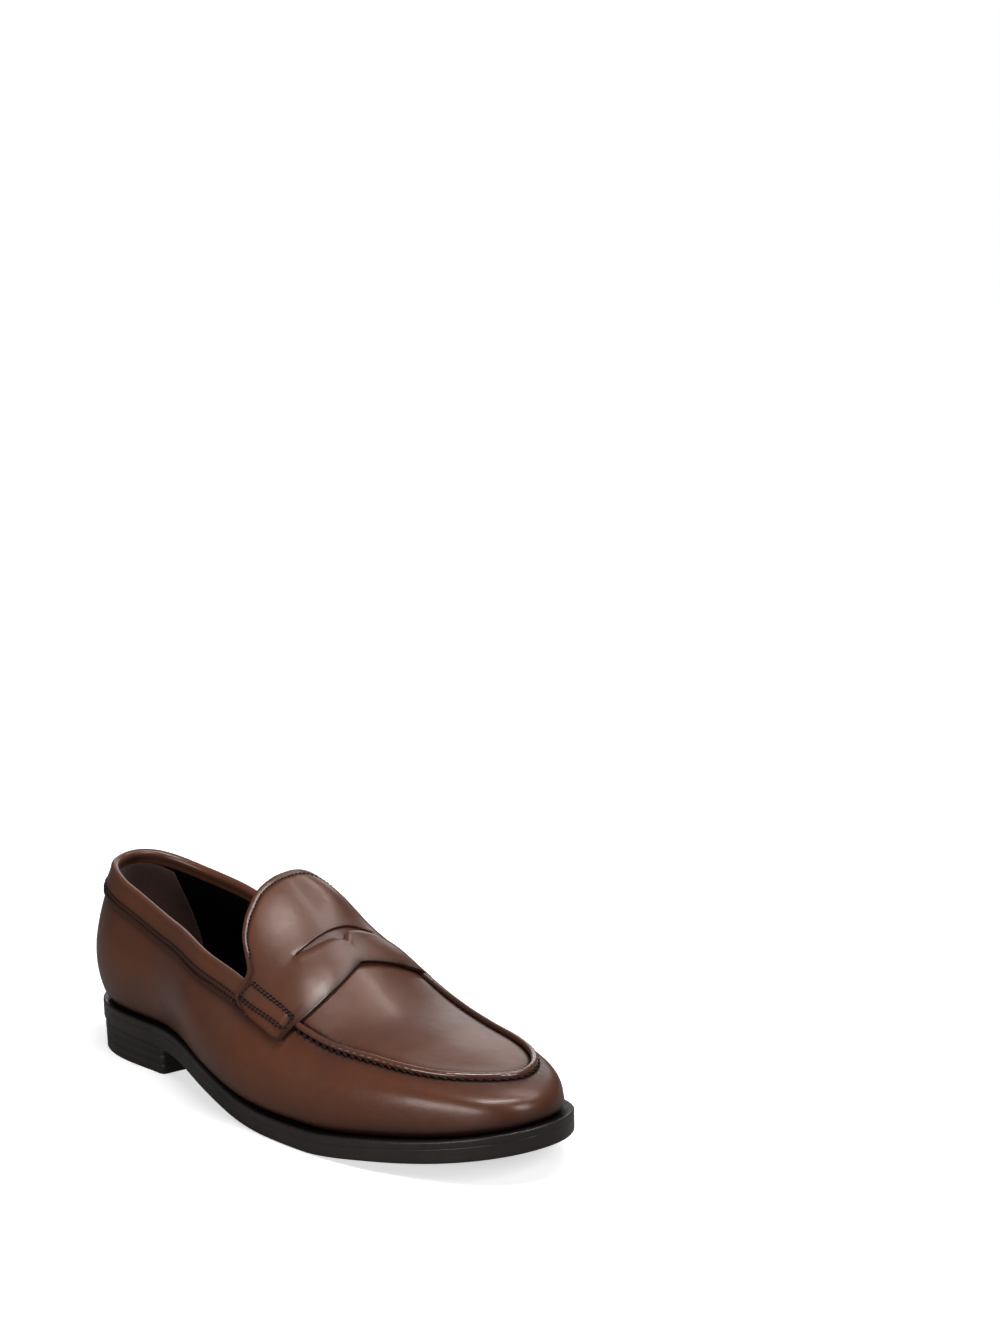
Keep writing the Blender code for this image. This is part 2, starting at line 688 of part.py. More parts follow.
# ---- the upper -----------------------------------------------------------------------------------
def build_wall():
    """Vamp and quarters in one piece, lasted round from a seam at the back of the heel."""
    turns = turns_between(0, 1, gap=BACK_HALF_GAP)
    top = seam_share(turns)
    ahead = smooth_step((along_ring(FEATHER, turns)[:, 0] - SEAM_START_X + 10) / 10)
    top = share_along(turns, top, -SEAM_HALF_GAP * ahead)
    grid = wall_grid(turns, lambda t, s: np.zeros(len(t)), 0.0, top, MARGIN_INSETS)
    shell("vamp_wall", grid, LEATHER, "calf")


def apron_turns():
    outer = turn_at(SEAM_START_X - 10, -1)
    inner = turn_at(SEAM_START_X - 10, 1)
    inside_turns = RING[(RING > outer + 0.001) & (RING < inner - 0.001)]
    return np.concatenate([[outer], inside_turns, [inner]])


def apron_grid(lift, gap):
    """The top of the forepart, from the seam up to the ridge, where both sides meet."""
    turns = apron_turns()
    edge = share_along(turns, np.maximum(seam_share(turns), 0.62), gap)
    steps = np.linspace(0, 1, 6)
    return np.stack([skin(turns, edge + (1 - edge) * t, lift * np.ones(len(turns))) for t in steps], 1)


def build_apron():
    outer = apron_grid(0.0, SEAM_HALF_GAP)
    outer[:, -1] = ridge_points(0.0)
    shell("apron", outer, LEATHER, "calf")
    lining = apron_grid(-LINING_DEPTH, SEAM_HALF_GAP)
    lining[:, -1] = ridge_points(-LINING_DEPTH)
    shell("apron_lining", lining, LINING, "black_lining")


def ridge_points(lift):
    """Where the apron's columns meet, the same point for each pair."""
    x = np.clip(along_ring(FEATHER, apron_turns())[:, 0], HEEL_CENTRE_X, TOE_CENTRE_X)
    return np.column_stack([x, interpolate(RIDGE_Y, x), interpolate(RIDGE_HEIGHT, x) + lift])


def seam_path(drop, lift, count):
    """A path along the apron seam, drop mm below it, from the strap on one side to the strap on the other."""
    start = turn_at(SEAM_START_X + 3, -1)
    end = turn_at(SEAM_START_X + 3, 1)
    turns = np.linspace(start, end, count)
    share = share_along(turns, seam_share(turns), -drop)
    return evenly(skin(turns, share, lift * np.ones(count)), count, closed=False)


def build_apron_seam():
    tube("apron_seam_roll", seam_path(0, ROLL_LIFT, 64), ROLL_RADIUS, "calf")
    tube("apron_seam_thread", seam_path(THREAD_DROP, THREAD_LIFT, 64), THREAD_RADIUS, "thread")


def saddle_rows():
    """Shares of the way from the rear edge to the slot, and from the slot to the front edge."""
    return np.linspace(0, 1, 8), np.linspace(0, 1, 5)


def saddle_columns():
    """Distances from the ridge of the saddle's columns, with one at each end of the slot."""
    outer = [SADDLE_ENDS[0], SADDLE_ENDS[0] + 1, *np.linspace(-59, -29, 10)]
    inner = [*np.linspace(24, 51, 9), SADDLE_ENDS[1] - 1, SADDLE_ENDS[1]]
    return np.array([*outer, *np.linspace(*SLOT_ENDS, 17), *inner])


def on_tab(x, arc):
    """The outer tab's lower edge climbs a little towards the toe."""
    return arc + TAB_CLIMB * smooth_step((x - 146) / 28) * smooth_step((-arc - 40) / 20)


def build_saddle():
    """Tongue and strap in one piece of leather, with the penny slot."""
    arcs = saddle_columns()
    rear = interpolate(SADDLE_REAR, arcs)
    front = interpolate(SADDLE_FRONT, arcs)
    beyond = np.maximum(SLOT_ENDS[0] - arcs, arcs - SLOT_ENDS[1])
    narrow = smooth_step(beyond / 14)
    slot_rear = interpolate(SLOT_REAR, arcs) * (1 - narrow) + (rear + (front - rear) * 0.50) * narrow
    slot_front = interpolate(SLOT_FRONT, arcs) * (1 - narrow) + (rear + (front - rear) * 0.60) * narrow
    before, after = saddle_rows()
    lines = [rear + (slot_rear - rear) * t for t in before]
    lines += [slot_front + (front - slot_front) * t for t in after]
    grid = np.stack([over_instep(x, on_tab(x, arcs), SADDLE_LIFT * np.ones(len(arcs))) for x in lines], 1)
    grid = grid[:, ::-1]
    slot_row = len(after) - 1

    def in_slot(i, j):
        return j == slot_row and beyond[i] <= 0.01 and beyond[i + 1] <= 0.01

    shell("saddle_mask", grid, LEATHER, "calf", skipped=in_slot)


def instep_patch(name, arcs, rear, front, rows, lift, thickness, finish):
    lines = [rear + (front - rear) * t for t in np.linspace(1, 0, rows)]
    grid = np.stack([over_instep(x, arcs, lift * np.ones(len(arcs))) for x in lines], 1)
    shell(name, grid, thickness, finish)


def build_tongue_lining():
    arcs = np.linspace(-41, 33, 21)
    rear = interpolate(SADDLE_REAR, arcs) + 1.2
    front = np.full(len(arcs), 149.0)
    instep_patch("tongue_lining", arcs, rear, front, 6, TONGUE_LINING_LIFT, LINING, "calf_edge")


def build_slot_backing():
    arcs = np.linspace(-31, 27, 15)
    instep_patch(
        "slot_backing", arcs, np.full(15, 149.6), np.full(15, 166.5), 4, TONGUE_LINING_LIFT, LINING, "calf"
    )


def rounded_box(corners, cut_off=0.14):
    """A closed path through four corners, each cut off and then smoothed."""
    after = np.roll(corners, -1, 0)
    near = corners * (1 - cut_off) + after * cut_off
    far = corners * cut_off + after * (1 - cut_off)
    return spline(np.stack([near, far], 1).reshape(-1, 2), 32, closed=True)


def build_strap_stitching():
    """A stitched box on each side of the saddle, where it is fastened to the wall."""
    for name, top, top_front, low, low_front in TAB_BOXES:
        loop = rounded_box(np.array([(148.6, top), (175.5, top_front), (173, low_front), (147, low)]))
        if low > 0:
            loop = loop[::-1]
        lifts = np.full(len(loop), SADDLE_LIFT + STITCHING_LIFT)
        path = over_instep(loop[:, 0], on_tab(loop[:, 0], loop[:, 1]), lifts)
        tube("strap_stitching_" + name, path, STITCHING_RADIUS, "thread", closed=True)


def build_collar():
    """The band round the opening and the facing inside its edge."""
    turns = turns_between(turn_at(150, 1) - 1, turn_at(150, -1))
    top = topline_share(turns)
    width = interpolate(COLLAR_WIDTH, along_ring(FEATHER, turns)[:, 0])
    low = share_along(turns, top, -width)
    shell("collar_band", strip_grid(turns, low, top, COLLAR_LIFT, 4), COLLAR_LEATHER, "calf")
    low = share_along(turns, top, -FACING_WIDTH)
    shell("collar_facing", strip_grid(turns, low, top, -LINING_DEPTH, 3), LINING, "calf")


def build_back_seam():
    top = share_along(np.zeros(1), topline_share(np.zeros(1)), -COLLAR_WIDTH[0][1] - 0.8)[0]
    path = skin(np.zeros(12), np.linspace(0.04, top, 12), 0.1 * np.ones(12))
    tube("back_seam_thread", path, BACK_THREAD_RADIUS, "thread")


def build_linings():
    """The grip round the heel, the two quarter linings and the vamp lining."""
    pieces = [
        ("heel_grip_lining", turn_at(GRIP_END_X, 1) - 1, turn_at(GRIP_END_X, -1), "suede"),
        ("quarter_lining_lateral", turn_at(GRIP_END_X, -1), turn_at(128, -1), "black_lining"),
        ("quarter_lining_medial", turn_at(128, 1), turn_at(GRIP_END_X, 1), "black_lining"),
        ("vamp_lining", turn_at(128, -1), turn_at(128, 1), "black_lining"),
    ]
    for name, start, end, finish in pieces:
        turns = turns_between(start, end)
        x = along_ring(FEATHER, turns)[:, 0]
        down = FACING_WIDTH + 0.5 + 0 * x
        if name == "vamp_lining":
            down = (FACING_WIDTH + 0.5) * (1 - smooth_step((x - 150) / 15)) + SEAM_HALF_GAP
        top = share_along(turns, seam_share(turns), -down)
        shell(name, wall_grid(turns, lining_depth, 1.6, top, LINING_MARGIN_INSETS), LINING, finish)


def build_stiffeners():
    """The heel counter and the toe puff, between the wall and its lining."""
    counter = turns_between(turn_at(COUNTER_END_X, 1) - 1, turn_at(COUNTER_END_X, -1))
    puff = turns_between(turn_at(PUFF_START_X, -1), turn_at(PUFF_START_X, 1))
    for name, turns, top in (("heel_counter", counter, COUNTER_TOP), ("toe_puff", puff, PUFF_TOP)):
        grid = strip_grid(turns, 0.1 * np.ones(len(turns)), top * np.ones(len(turns)), -STIFFENER_DEPTH, 6)
        shell(name, grid, STIFFENER, "stiffener")


# ---- the bottom ----------------------------------------------------------------------------------
def sole_underside(x, y):
    return np.maximum(feather_height(x, y) - interpolate(SOLE_EDGE, x), 0)


def build_outsole():
    top = plate_grid(along_ring(OUTLINE, RING), above_feather(SOLE_TOP))
    bottom = plate_grid(along_ring(OUTLINE, RING), sole_underside)
    return loft_solid("outsole", top, bottom, "sole_rubber")


def loft_solid(name, top, bottom, finish):
    """A closed plate between an upper and a lower grid of the same columns."""
    mesh = bmesh.new()
    columns, rows = top.shape[:2]
    upper = [[mesh.verts.new(place(top[i, j])) for j in range(rows)] for i in range(columns)]
    lower = [[mesh.verts.new(place(bottom[i, j])) for j in range(rows)] for i in range(columns)]
    for i in range(columns):
        k = (i + 1) % columns
        for j in range(rows - 1):
            mesh.faces.new((upper[i][j], upper[k][j], upper[k][j + 1], upper[i][j + 1]))
            mesh.faces.new((lower[i][j + 1], lower[k][j + 1], lower[k][j], lower[i][j]))
        mesh.faces.new((lower[i][0], lower[k][0], upper[k][0], upper[i][0]))
    bmesh.ops.remove_doubles(mesh, verts=mesh.verts, dist=1e-5)
    bmesh.ops.dissolve_degenerate(mesh, edges=mesh.edges, dist=1e-6)
    bmesh.ops.recalc_face_normals(mesh, faces=mesh.faces)
    data = bpy.data.meshes.new(name)
    mesh.to_mesh(data)
    mesh.free()
    return add_object(name, data, finish)


def build_welt():
    """The strip all round between the upper's turned-in margin and the outsole."""
    corners = []
    for inset, drop in ((0, 0), (WELT_WIDTH, 0), (WELT_WIDTH, WELT_THICKNESS), (0, WELT_THICKNESS), (0, 0)):
        plan = along_ring(OUTLINE, RING) + along_ring(INWARD, RING) * inset
        corners.append(np.column_stack([plan, feather_height(plan[:, 0], plan[:, 1]) - GAP - drop]))
    data = grid_mesh("welt", np.stack(corners, 1), closed=True)
    add_object("welt", data, "sole_rubber")


def build_plates():
    """Filler, insole board and sock: each a plate on the one below."""
    filler = plate_grid(edge_inset(FILLER_INSET), above_feather(FILLER_TOP), rows=(1.0, 0.5, 0.0))
    bottom = plate_grid(edge_inset(FILLER_INSET), above_feather(SOLE_TOP + GAP), rows=(1.0, 0.5, 0.0))
    cork = loft_solid("cork_filler", filler, bottom, "cork")
    board = plate_grid(edge_inset(INSOLE_INSET), above_feather(INSOLE_TOP))
    under = plate_grid(edge_inset(INSOLE_INSET), above_feather(INSOLE_TOP - INSOLE_THICKNESS))
    insole = loft_solid("insole_board", board, under, "board")

    def sock_height(drop):
        return lambda x, y: feather_height(x, y) + SOCK_TOP + interpolate(SOCK_RISE, x) - drop

    edge = edge_inset(INSOLE_INSET + 0.4)
    low, high = (plate_grid(edge, sock_height(up)) for up in (0, SOCK_THICKNESS))
    loft_solid("sock_liner", low, high, "black_lining")
    return cork, insole


def build_heel_pad():
    """A foam pad under the sock at the heel."""
    xs = np.linspace(14, PAD_END_X, 12)
    middle = (xs[0] + xs[-1]) / 2
    reach = (xs[-1] - xs[0]) / 2 + 1.5
    half = 20 * np.sqrt(1 - ((xs - middle) / reach) ** 2)
    rows = np.linspace(1, -1, 6)
    plan = np.stack([np.stack([xs, half * r], -1) for r in rows], 1)
    height = feather_height(plan[..., 0], plan[..., 1]) + INSOLE_TOP + GAP + PAD_THICKNESS
    grid = np.concatenate([plan, height[..., None]], -1)
    shell("heel_pad", grid[::-1], PAD_THICKNESS, "foam")


def build_shank():
    """The steel strip that stiffens the waist, between filler and insole."""
    xs = np.linspace(*SHANK_X, 14)
    centre = np.interp(xs, [66, 176], [-2, -6])
    rows = np.array([1, 0, -1]) * SHANK_HALF_WIDTH
    plan = np.stack([np.stack([xs, centre + r], -1) for r in rows], 1)
    height = feather_height(plan[..., 0], plan[..., 1]) + SHANK_TOP
    grid = np.concatenate([plan, height[..., None]], -1)
    shell("shank", grid[::-1], SHANK_THICKNESS, "steel")


def heel_outline(inset):
    """Plan outline of the heel: the outsole's outline drawn in, cut off at the slanted breast."""
    path = OUTLINE + INWARD * inset
    edge = np.interp(path[:, 1], [-33, 33], BREAST_X)
    kept = path[:, 0] < edge
    order = np.roll(np.arange(FINE), FINE // 2)
    return path[order][kept[order]][::8]


def split_outline(outline, x, keep_rear):
    """The part of the heel outline behind, or in front of, a cross line."""
    side = outline[:, 0] < x if keep_rear else outline[:, 0] > x
    kept = outline[side]
    if keep_rear:
        ends = np.array([[x, kept[-1, 1]], [x, kept[0, 1]]])
        return np.vstack([kept, ends])
    outer = kept[kept[:, 1] < 0]
    inner = kept[kept[:, 1] > 0]
    return np.vstack([[[x, inner[-1, 1]]], [[x, outer[0, 1]]], outer, inner])


def build_heel():
    """Two lifts, and a top piece in two parts with a groove between them."""
    top, middle, bottom = (heel_outline(inset) for inset in HEEL_INSETS)
    upper = slab("heel_lift_upper", top, LOWER_LIFT_TOP + GAP, UPPER_LIFT_TOP, "heel_stack")
    lower = slab("heel_lift_lower", middle, TOP_PIECE_HEIGHT + GAP, LOWER_LIFT_TOP, "heel_stack")
    rear = split_outline(bottom, GROOVE_X - GROOVE_WIDTH / 2, keep_rear=True)
    front = split_outline(bottom, GROOVE_X + GROOVE_WIDTH / 2, keep_rear=False)
    slab("heel_top_piece_rear", rear, 0, TOP_PIECE_HEIGHT, "sole_rubber")
    slab("heel_top_piece_front", front, 0, TOP_PIECE_HEIGHT, "sole_rubber")
    low = plate_grid(edge_inset(-8), lambda x, y: sole_underside(x, y) - GAP)
    high = low + np.array([0, 0, 14.0])
    cut(upper, as_cutter(loft_solid("sole_room", high, low, "board")))
    return upper, lower


def cylinder(name, x, y, low, high, radius, finish):
    mesh = bmesh.new()
    bmesh.ops.create_cone(
        mesh, cap_ends=True, segments=10, radius1=radius * MM, radius2=radius * MM, depth=(high - low) * MM
    )
    data = bpy.data.meshes.new(name)
    mesh.to_mesh(data)
    mesh.free()
    piece = add_object(name, data, finish)
    piece.location = Vector(place((x, y, (low + high) / 2)))
    return piece


def build_nails(drilled):
    """Nails from inside the shoe through the seat of the heel into its lifts."""
    for number, (x, y) in enumerate(NAIL_PLACES, 1):
        head = float(feather_height(np.array(x), np.array(y))) + INSOLE_TOP - NAIL_HEAD_BELOW_INSOLE
        cylinder(f"heel_nail_{number}", x, y, NAIL_FOOT, head, NAIL_RADIUS, "steel")
        hole = cylinder(f"nail_hole_{number}", x, y, NAIL_HOLE_FOOT, head + 4, NAIL_HOLE_RADIUS, "steel")
        as_cutter(hole)
        for piece in drilled:
            cut(piece, hole)


clear_scene()
PARTS = make_collection("penny_loafer")
CUTTERS = make_collection("cutters")
CUTTERS.hide_render = True
build_wall()
build_apron()
build_apron_seam()
build_saddle()
build_tongue_lining()
build_slot_backing()
build_strap_stitching()
build_collar()
build_back_seam()
build_linings()
build_stiffeners()
OUTSOLE = build_outsole()
build_welt()
CORK, INSOLE = build_plates()
build_heel_pad()
build_shank()
UPPER_LIFT, LOWER_LIFT = build_heel()
build_nails([INSOLE, CORK, OUTSOLE, UPPER_LIFT, LOWER_LIFT])
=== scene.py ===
"""Looks of the penny loafer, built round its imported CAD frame.

The shape is worked out in millimetres with X counted from the back of the outsole; place() turns that into
the frame's metres. A point of the upper has a turn, from 0 at the back of the heel along the outer side to
the toe and back along the inner side to 1, and a share, from 0 at the sole to 1 on the ridge of the foot.
"""

import math

import bpy
import numpy as np
from mathutils import Matrix, Vector


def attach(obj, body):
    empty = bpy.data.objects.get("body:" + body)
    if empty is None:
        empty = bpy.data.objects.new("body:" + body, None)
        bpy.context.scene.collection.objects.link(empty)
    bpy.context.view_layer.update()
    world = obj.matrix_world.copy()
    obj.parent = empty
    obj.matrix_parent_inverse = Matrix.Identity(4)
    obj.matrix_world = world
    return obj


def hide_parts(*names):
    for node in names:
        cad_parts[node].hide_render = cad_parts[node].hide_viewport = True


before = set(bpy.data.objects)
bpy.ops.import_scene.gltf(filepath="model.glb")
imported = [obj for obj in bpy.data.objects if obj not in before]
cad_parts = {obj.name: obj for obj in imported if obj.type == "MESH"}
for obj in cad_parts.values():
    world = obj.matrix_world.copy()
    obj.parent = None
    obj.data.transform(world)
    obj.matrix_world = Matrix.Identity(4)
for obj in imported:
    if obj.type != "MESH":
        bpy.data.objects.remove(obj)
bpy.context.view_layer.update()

MM = 0.001
ORIGIN_X = 148.67
ORIGIN_Y = 0.39

# ---- the last: the same tables as the CAD --------------------------------------------------------
OUTSOLE_OUTLINE = [
    (0, 0), (7, -18.7), (28.5, -30.5), (72, -33.3), (111, -42.5), (152, -50.5), (193.5, -52.5),
    (232, -48), (267, -37.5), (292.5, -21), (300, 1.5), (292.5, 22), (271, 39), (238, 50.5),
    (202, 55.5), (162, 43.5), (123.5, 26.5), (72, 33.3), (28.5, 31), (7, 18.7),
]
WELT_MARGIN = [(0, 3), (120, 3), (200, 4.5), (300, 4.5)]
FEATHER_HEIGHT = [
    (0, 25.5), (50, 24.8), (80, 23.8), (120, 18), (160, 11.2), (200, 10), (240, 14.4), (270, 19.2), (300, 26),
]
SOLE_EDGE = [(0, 9.6), (90, 11.2), (200, 10.1), (300, 10.8)]
RIDGE_HEIGHT = [
    (0, 116.5), (60, 117), (100, 110.5), (125, 99.5), (150, 82.5), (175, 67.3), (200, 53.8), (225, 47),
    (250, 43.6), (275, 40.8), (300, 37.5),
]
RIDGE_Y = [(0, 0), (50, 0.5), (90, 4), (125, 7), (165, 7), (200, 4), (245, 3), (300, 6)]
RIDGE_ROUNDING = 9.0
HEEL_CENTRE_X = 38
TOE_CENTRE_X = 248
BALL_SKEW = 0.15
SKEW_FROM_X = 70
SKEW_LENGTH = 50
# x, then five widths and five heights of the control points between the sole's edge and the ridge, as shares.
SECTIONS = [
    (0, 1.07, 1.19, 1.08, 0.87, 0.58, 0.08, 0.25, 0.50, 0.73, 0.97),
    (38, 1.15, 1.26, 1.09, 0.84, 0.53, 0.07, 0.25, 0.48, 0.70, 0.97),
    (110, 1.16, 1.27, 1.12, 0.80, 0.44, 0.07, 0.25, 0.48, 0.75, 0.98),
    (160, 1.11, 1.17, 1.02, 0.75, 0.41, 0.08, 0.27, 0.58, 0.83, 0.99),
    (205, 1.03, 1.06, 0.98, 0.77, 0.40, 0.10, 0.33, 0.68, 0.89, 0.97),
    (248, 1.02, 1.02, 0.97, 0.80, 0.39, 0.12, 0.38, 0.75, 0.94, 0.98),
    (300, 1.01, 0.99, 0.96, 0.79, 0.40, 0.14, 0.43, 0.79, 0.96, 0.98),
]
INNER_SWELL = [
    (0, 0), (20, 0.05), (80, 0.22), (105, 0.70), (130, 1.10), (150, 0.88), (170, 0.42), (195, 0.14), (230, 0),
    (300, 0),
]
SWELL_SHARES = (0, 0.1, 0.3, 0.7, 1.0)
# x, then the share of the opening's edge on the outer side and on the inner side.
TOPLINE = [
    (0, 0.765, 0.775), (20, 0.750, 0.728), (50, 0.695, 0.658), (64, 0.653, 0.628), (78, 0.625, 0.590),
    (100, 0.624, 0.542), (125, 0.637, 0.552), (142, 0.653, 0.585), (180, 0.655, 0.660), (300, 0.655, 0.660),
]
COLLAR_WIDTH = [(0, 14.2), (60, 12.8), (100, 11.8), (150, 11.2)]
APRON_SEAM = [
    (150, -39), (168, -39.2), (195, -37.2), (225, -30.8), (250, -24), (267, -12), (276.5, 5), (268.5, 22.5),
    (250, 32.8), (225, 38), (200, 41), (168, 38.5), (150, 36),
]
# The saddle, by the distance from the ridge, negative on the outer side.
SADDLE_REAR = [
    (-62.4, 146.5), (-61, 144), (-58, 142.8), (-52, 143.4), (-48, 142.6), (-44, 137.5), (-40.5, 132.6),
    (-35, 128.4), (-26, 124.4), (-18.5, 121.8), (-10, 120.6), (0, 120.2), (8, 120.8), (14, 123.6),
    (19, 127.6), (25, 132.4), (31, 137), (36, 140.8), (40, 141.9), (45, 140), (50, 138.8), (53, 140),
    (54.4, 142.5),
]
SADDLE_FRONT = [
    (-62.4, 173.5), (-60.8, 176), (-57.5, 177.6), (-54, 178.4), (-46, 180.2), (-37, 181), (-23, 179.6),
    (-12, 176.9), (-3, 174), (0, 173.2), (4, 173.9), (10, 175.4), (20, 178.2), (28, 180.4), (37, 181),
    (43, 180), (51, 177.4), (53, 175.5), (54.4, 173),
]
SADDLE_ENDS = (-62.4, 54.4)
SLOT_ENDS = (-26, 21)
TONGUE_CROWN = 3.5
SLOT_REAR = [
    (-62.4, 155.6), (-26, 155.6), (-18.5, 155), (-9, 153.8), (0, 153), (9, 153.3), (15, 155), (21, 157.8),
    (54.4, 158),
]
SLOT_FRONT = [
    (-62.4, 158), (-26, 156.1), (-17, 157.2), (-8, 157.2), (-3, 157.6), (0.5, 159.8), (3.5, 157.4), (7, 156),
    (13, 156.4), (21, 158.4), (54.4, 160),
]
WELT_TOP = -0.3
SOCK_RISE = [(0, 2.0), (84, 2.0), (112, 0), (300, 0)]
BREAST_X = (71, 83)

# Each tab's box: the upper row's distances from the ridge at its rear and front, the lower row's, the slant.
TAB_ROWS = [
    ("lateral", -49.2, -47.2, -59.6, -57.2, -0.3),
    ("medial", 40.5, 42.0, 50.2, 50.6, 0.3),
]
TAB_ROW_GAP = 1.4
TONGUE_ROW_INSET = 2.7

FINE = 2880
RING_LENGTH = 760
SEAM_FROM_X = 176
SEAM_PITCH = 3.9
SEAM_DIP = 0.95
SEAM_GATHER = 0.05


# ---- numbers -------------------------------------------------------------------------------------
def interpolate(table, x):
    """A smooth curve through the rows (x, value, ...) of a table, without overshoot."""
    rows = np.asarray(table, float)
    knots = rows[:, 0]
    values = rows[:, 1:]
    x = np.clip(np.asarray(x, float), knots[0], knots[-1])
    steps = np.diff(knots)
    slopes = np.diff(values, axis=0) / steps[:, None]
    tangents = np.zeros_like(values)
    mean = (slopes[:-1] * steps[1:, None] + slopes[1:] * steps[:-1, None]) / (steps[1:] + steps[:-1])[:, None]
    limit = 3 * np.minimum(np.abs(slopes[:-1]), np.abs(slopes[1:]))
    rising = slopes[:-1] * slopes[1:] > 0
    tangents[1:-1] = np.where(rising, np.sign(mean) * np.minimum(np.abs(mean), limit), 0)
    tangents[0] = slopes[0]
    tangents[-1] = slopes[-1]
    i = np.clip(np.searchsorted(knots, x, side="right") - 1, 0, len(knots) - 2)
    u = ((x - knots[i]) / steps[i])[..., None]
    h = steps[i][..., None]
    result = (
        (2 * u**3 - 3 * u**2 + 1) * values[i]
        + (u**3 - 2 * u**2 + u) * h * tangents[i]
        + (3 * u**2 - 2 * u**3) * values[i + 1]
        + (u**3 - u**2) * h * tangents[i + 1]
    )
    return result[..., 0] if result.shape[-1] == 1 else result


def smooth_step(value):
    value = np.clip(value, 0, 1)
    return value * value * (3 - 2 * value)


def bump(distance, width):
    """1 at no distance, falling off smoothly."""
    return np.exp(-((np.asarray(distance, float) / width) ** 2))


def unit(vectors):
    return vectors / np.maximum(np.linalg.norm(vectors, axis=-1), 1e-9)[..., None]


def evenly(path, count, closed):
    """count points at equal distances along a path; a closed path doesn't repeat its first point."""
    lengths = path_lengths(path)
    wanted = np.linspace(0, lengths[-1], count, endpoint=not closed)
    return along(path, lengths, wanted)


def path_lengths(path):
    return np.concatenate([[0], np.cumsum(np.linalg.norm(np.diff(path, axis=0), axis=1))])


def along(path, lengths, wanted):
    return np.stack([np.interp(wanted, lengths, path[:, k]) for k in range(path.shape[1])], -1)


def spline(points, count, closed):
    """count points, evenly spaced, on a cubic spline through points."""
    p = np.asarray(points, float)
    size = len(p)
    following = np.roll(p, -1, 0) if closed else np.vstack([p[1:], p[-1:]])
    spans = np.linalg.norm(following - p, axis=1)
    matrix = np.zeros((size, size))
    right = np.zeros_like(p)
    for i in range(size):
        if not closed and i in (0, size - 1):
            matrix[i, i] = 1
            continue
        before = spans[i - 1]
        after = spans[i]
        matrix[i, i - 1] += before
        matrix[i, i] += 2 * (before + after)
        matrix[i, (i + 1) % size] += after
        right[i] = 6 * ((following[i] - p[i]) / after - (p[i] - p[i - 1]) / before)
    bend = np.linalg.solve(matrix, right)
    spans = spans if closed else spans[:-1]
    ends = np.concatenate([[0], np.cumsum(spans)])
    t = np.linspace(0, ends[-1], 4 * count)
    i = np.clip(np.searchsorted(ends, t, side="right") - 1, 0, len(spans) - 1)
    j = (i + 1) % size
    h = spans[i][:, None]
    u = (t - ends[i])[:, None]
    w = h - u
    dense = (bend[i] * w**3 + bend[j] * u**3) / (6 * h)
    dense += (p[i] / h - bend[i] * h / 6) * w + (p[j] / h - bend[j] * h / 6) * u
    return evenly(dense, count, closed)


def cubic_weights(part):
    """Catmull-Rom weights of the four neighbours of a place part of the way between the middle two."""
    t = part[..., None]
    return np.concatenate(
        [
            -0.5 * t + t**2 - 0.5 * t**3,
            1 - 2.5 * t**2 + 1.5 * t**3,
            0.5 * t + 2 * t**2 - 1.5 * t**3,
            -0.5 * t**2 + 0.5 * t**3,
        ],
        -1,
    )


def inward(path):
    """Unit normals, to the left of travel, of a closed plan path."""
    tangent = unit(np.roll(path, -1, 0) - np.roll(path, 1, 0))
    return np.stack([-tangent[:, 1], tangent[:, 0]], 1)


# ---- the last ------------------------------------------------------------------------------------
OUTLINE = spline(OUTSOLE_OUTLINE, FINE, closed=True)
INWARD = inward(OUTLINE)
FEATHER = OUTLINE + INWARD * interpolate(WELT_MARGIN, OUTLINE[:, 0])[:, None]
TIP = int(np.argmax(FEATHER[:, 0]))


def along_ring(values, turn):
    """Values kept at FINE even turns, read smoothly at any turns."""
    place_in = np.asarray(turn, float) % 1.0 * FINE
    low = np.floor(place_in).astype(int)
    weights = cubic_weights(place_in - low)
    return sum(values[(low + k - 1) % FINE] * weights[..., k, None] for k in range(4))


def feather_x(turn):
    return along_ring(FEATHER, turn)[..., 0]


def turn_at(x, side):
    """The turn where the feather line has this x, on the outer side (-1) or the inner side (+1)."""
    turns = np.arange(FINE) / FINE
    if side < 0:
        return np.interp(x, FEATHER[: TIP + 1, 0], turns[: TIP + 1])
    back = np.append(FEATHER[TIP:, 0], FEATHER[0, 0])[::-1]
    return np.interp(x, back, np.append(turns[TIP:], 1.0)[::-1])


def feather_height(x, y):
    skewed = x - BALL_SKEW * y * smooth_step((x - SKEW_FROM_X) / SKEW_LENGTH)
    return interpolate(FEATHER_HEIGHT, skewed)


def inside_ring(ring, turns, inset):
    """Plan points a distance inside the outline or the feather line."""
    return along_ring(ring, turns) + along_ring(INWARD, turns) * inset


def over_feather(plan, rise):
    """Plan points at a height over the feather line's curve."""
    return np.column_stack([plan, feather_height(plan[:, 0], plan[:, 1]) + rise])


def spine(x):
    x = np.clip(x, HEEL_CENTRE_X, TOE_CENTRE_X)
    return np.stack([x, interpolate(RIDGE_Y, x)], -1)


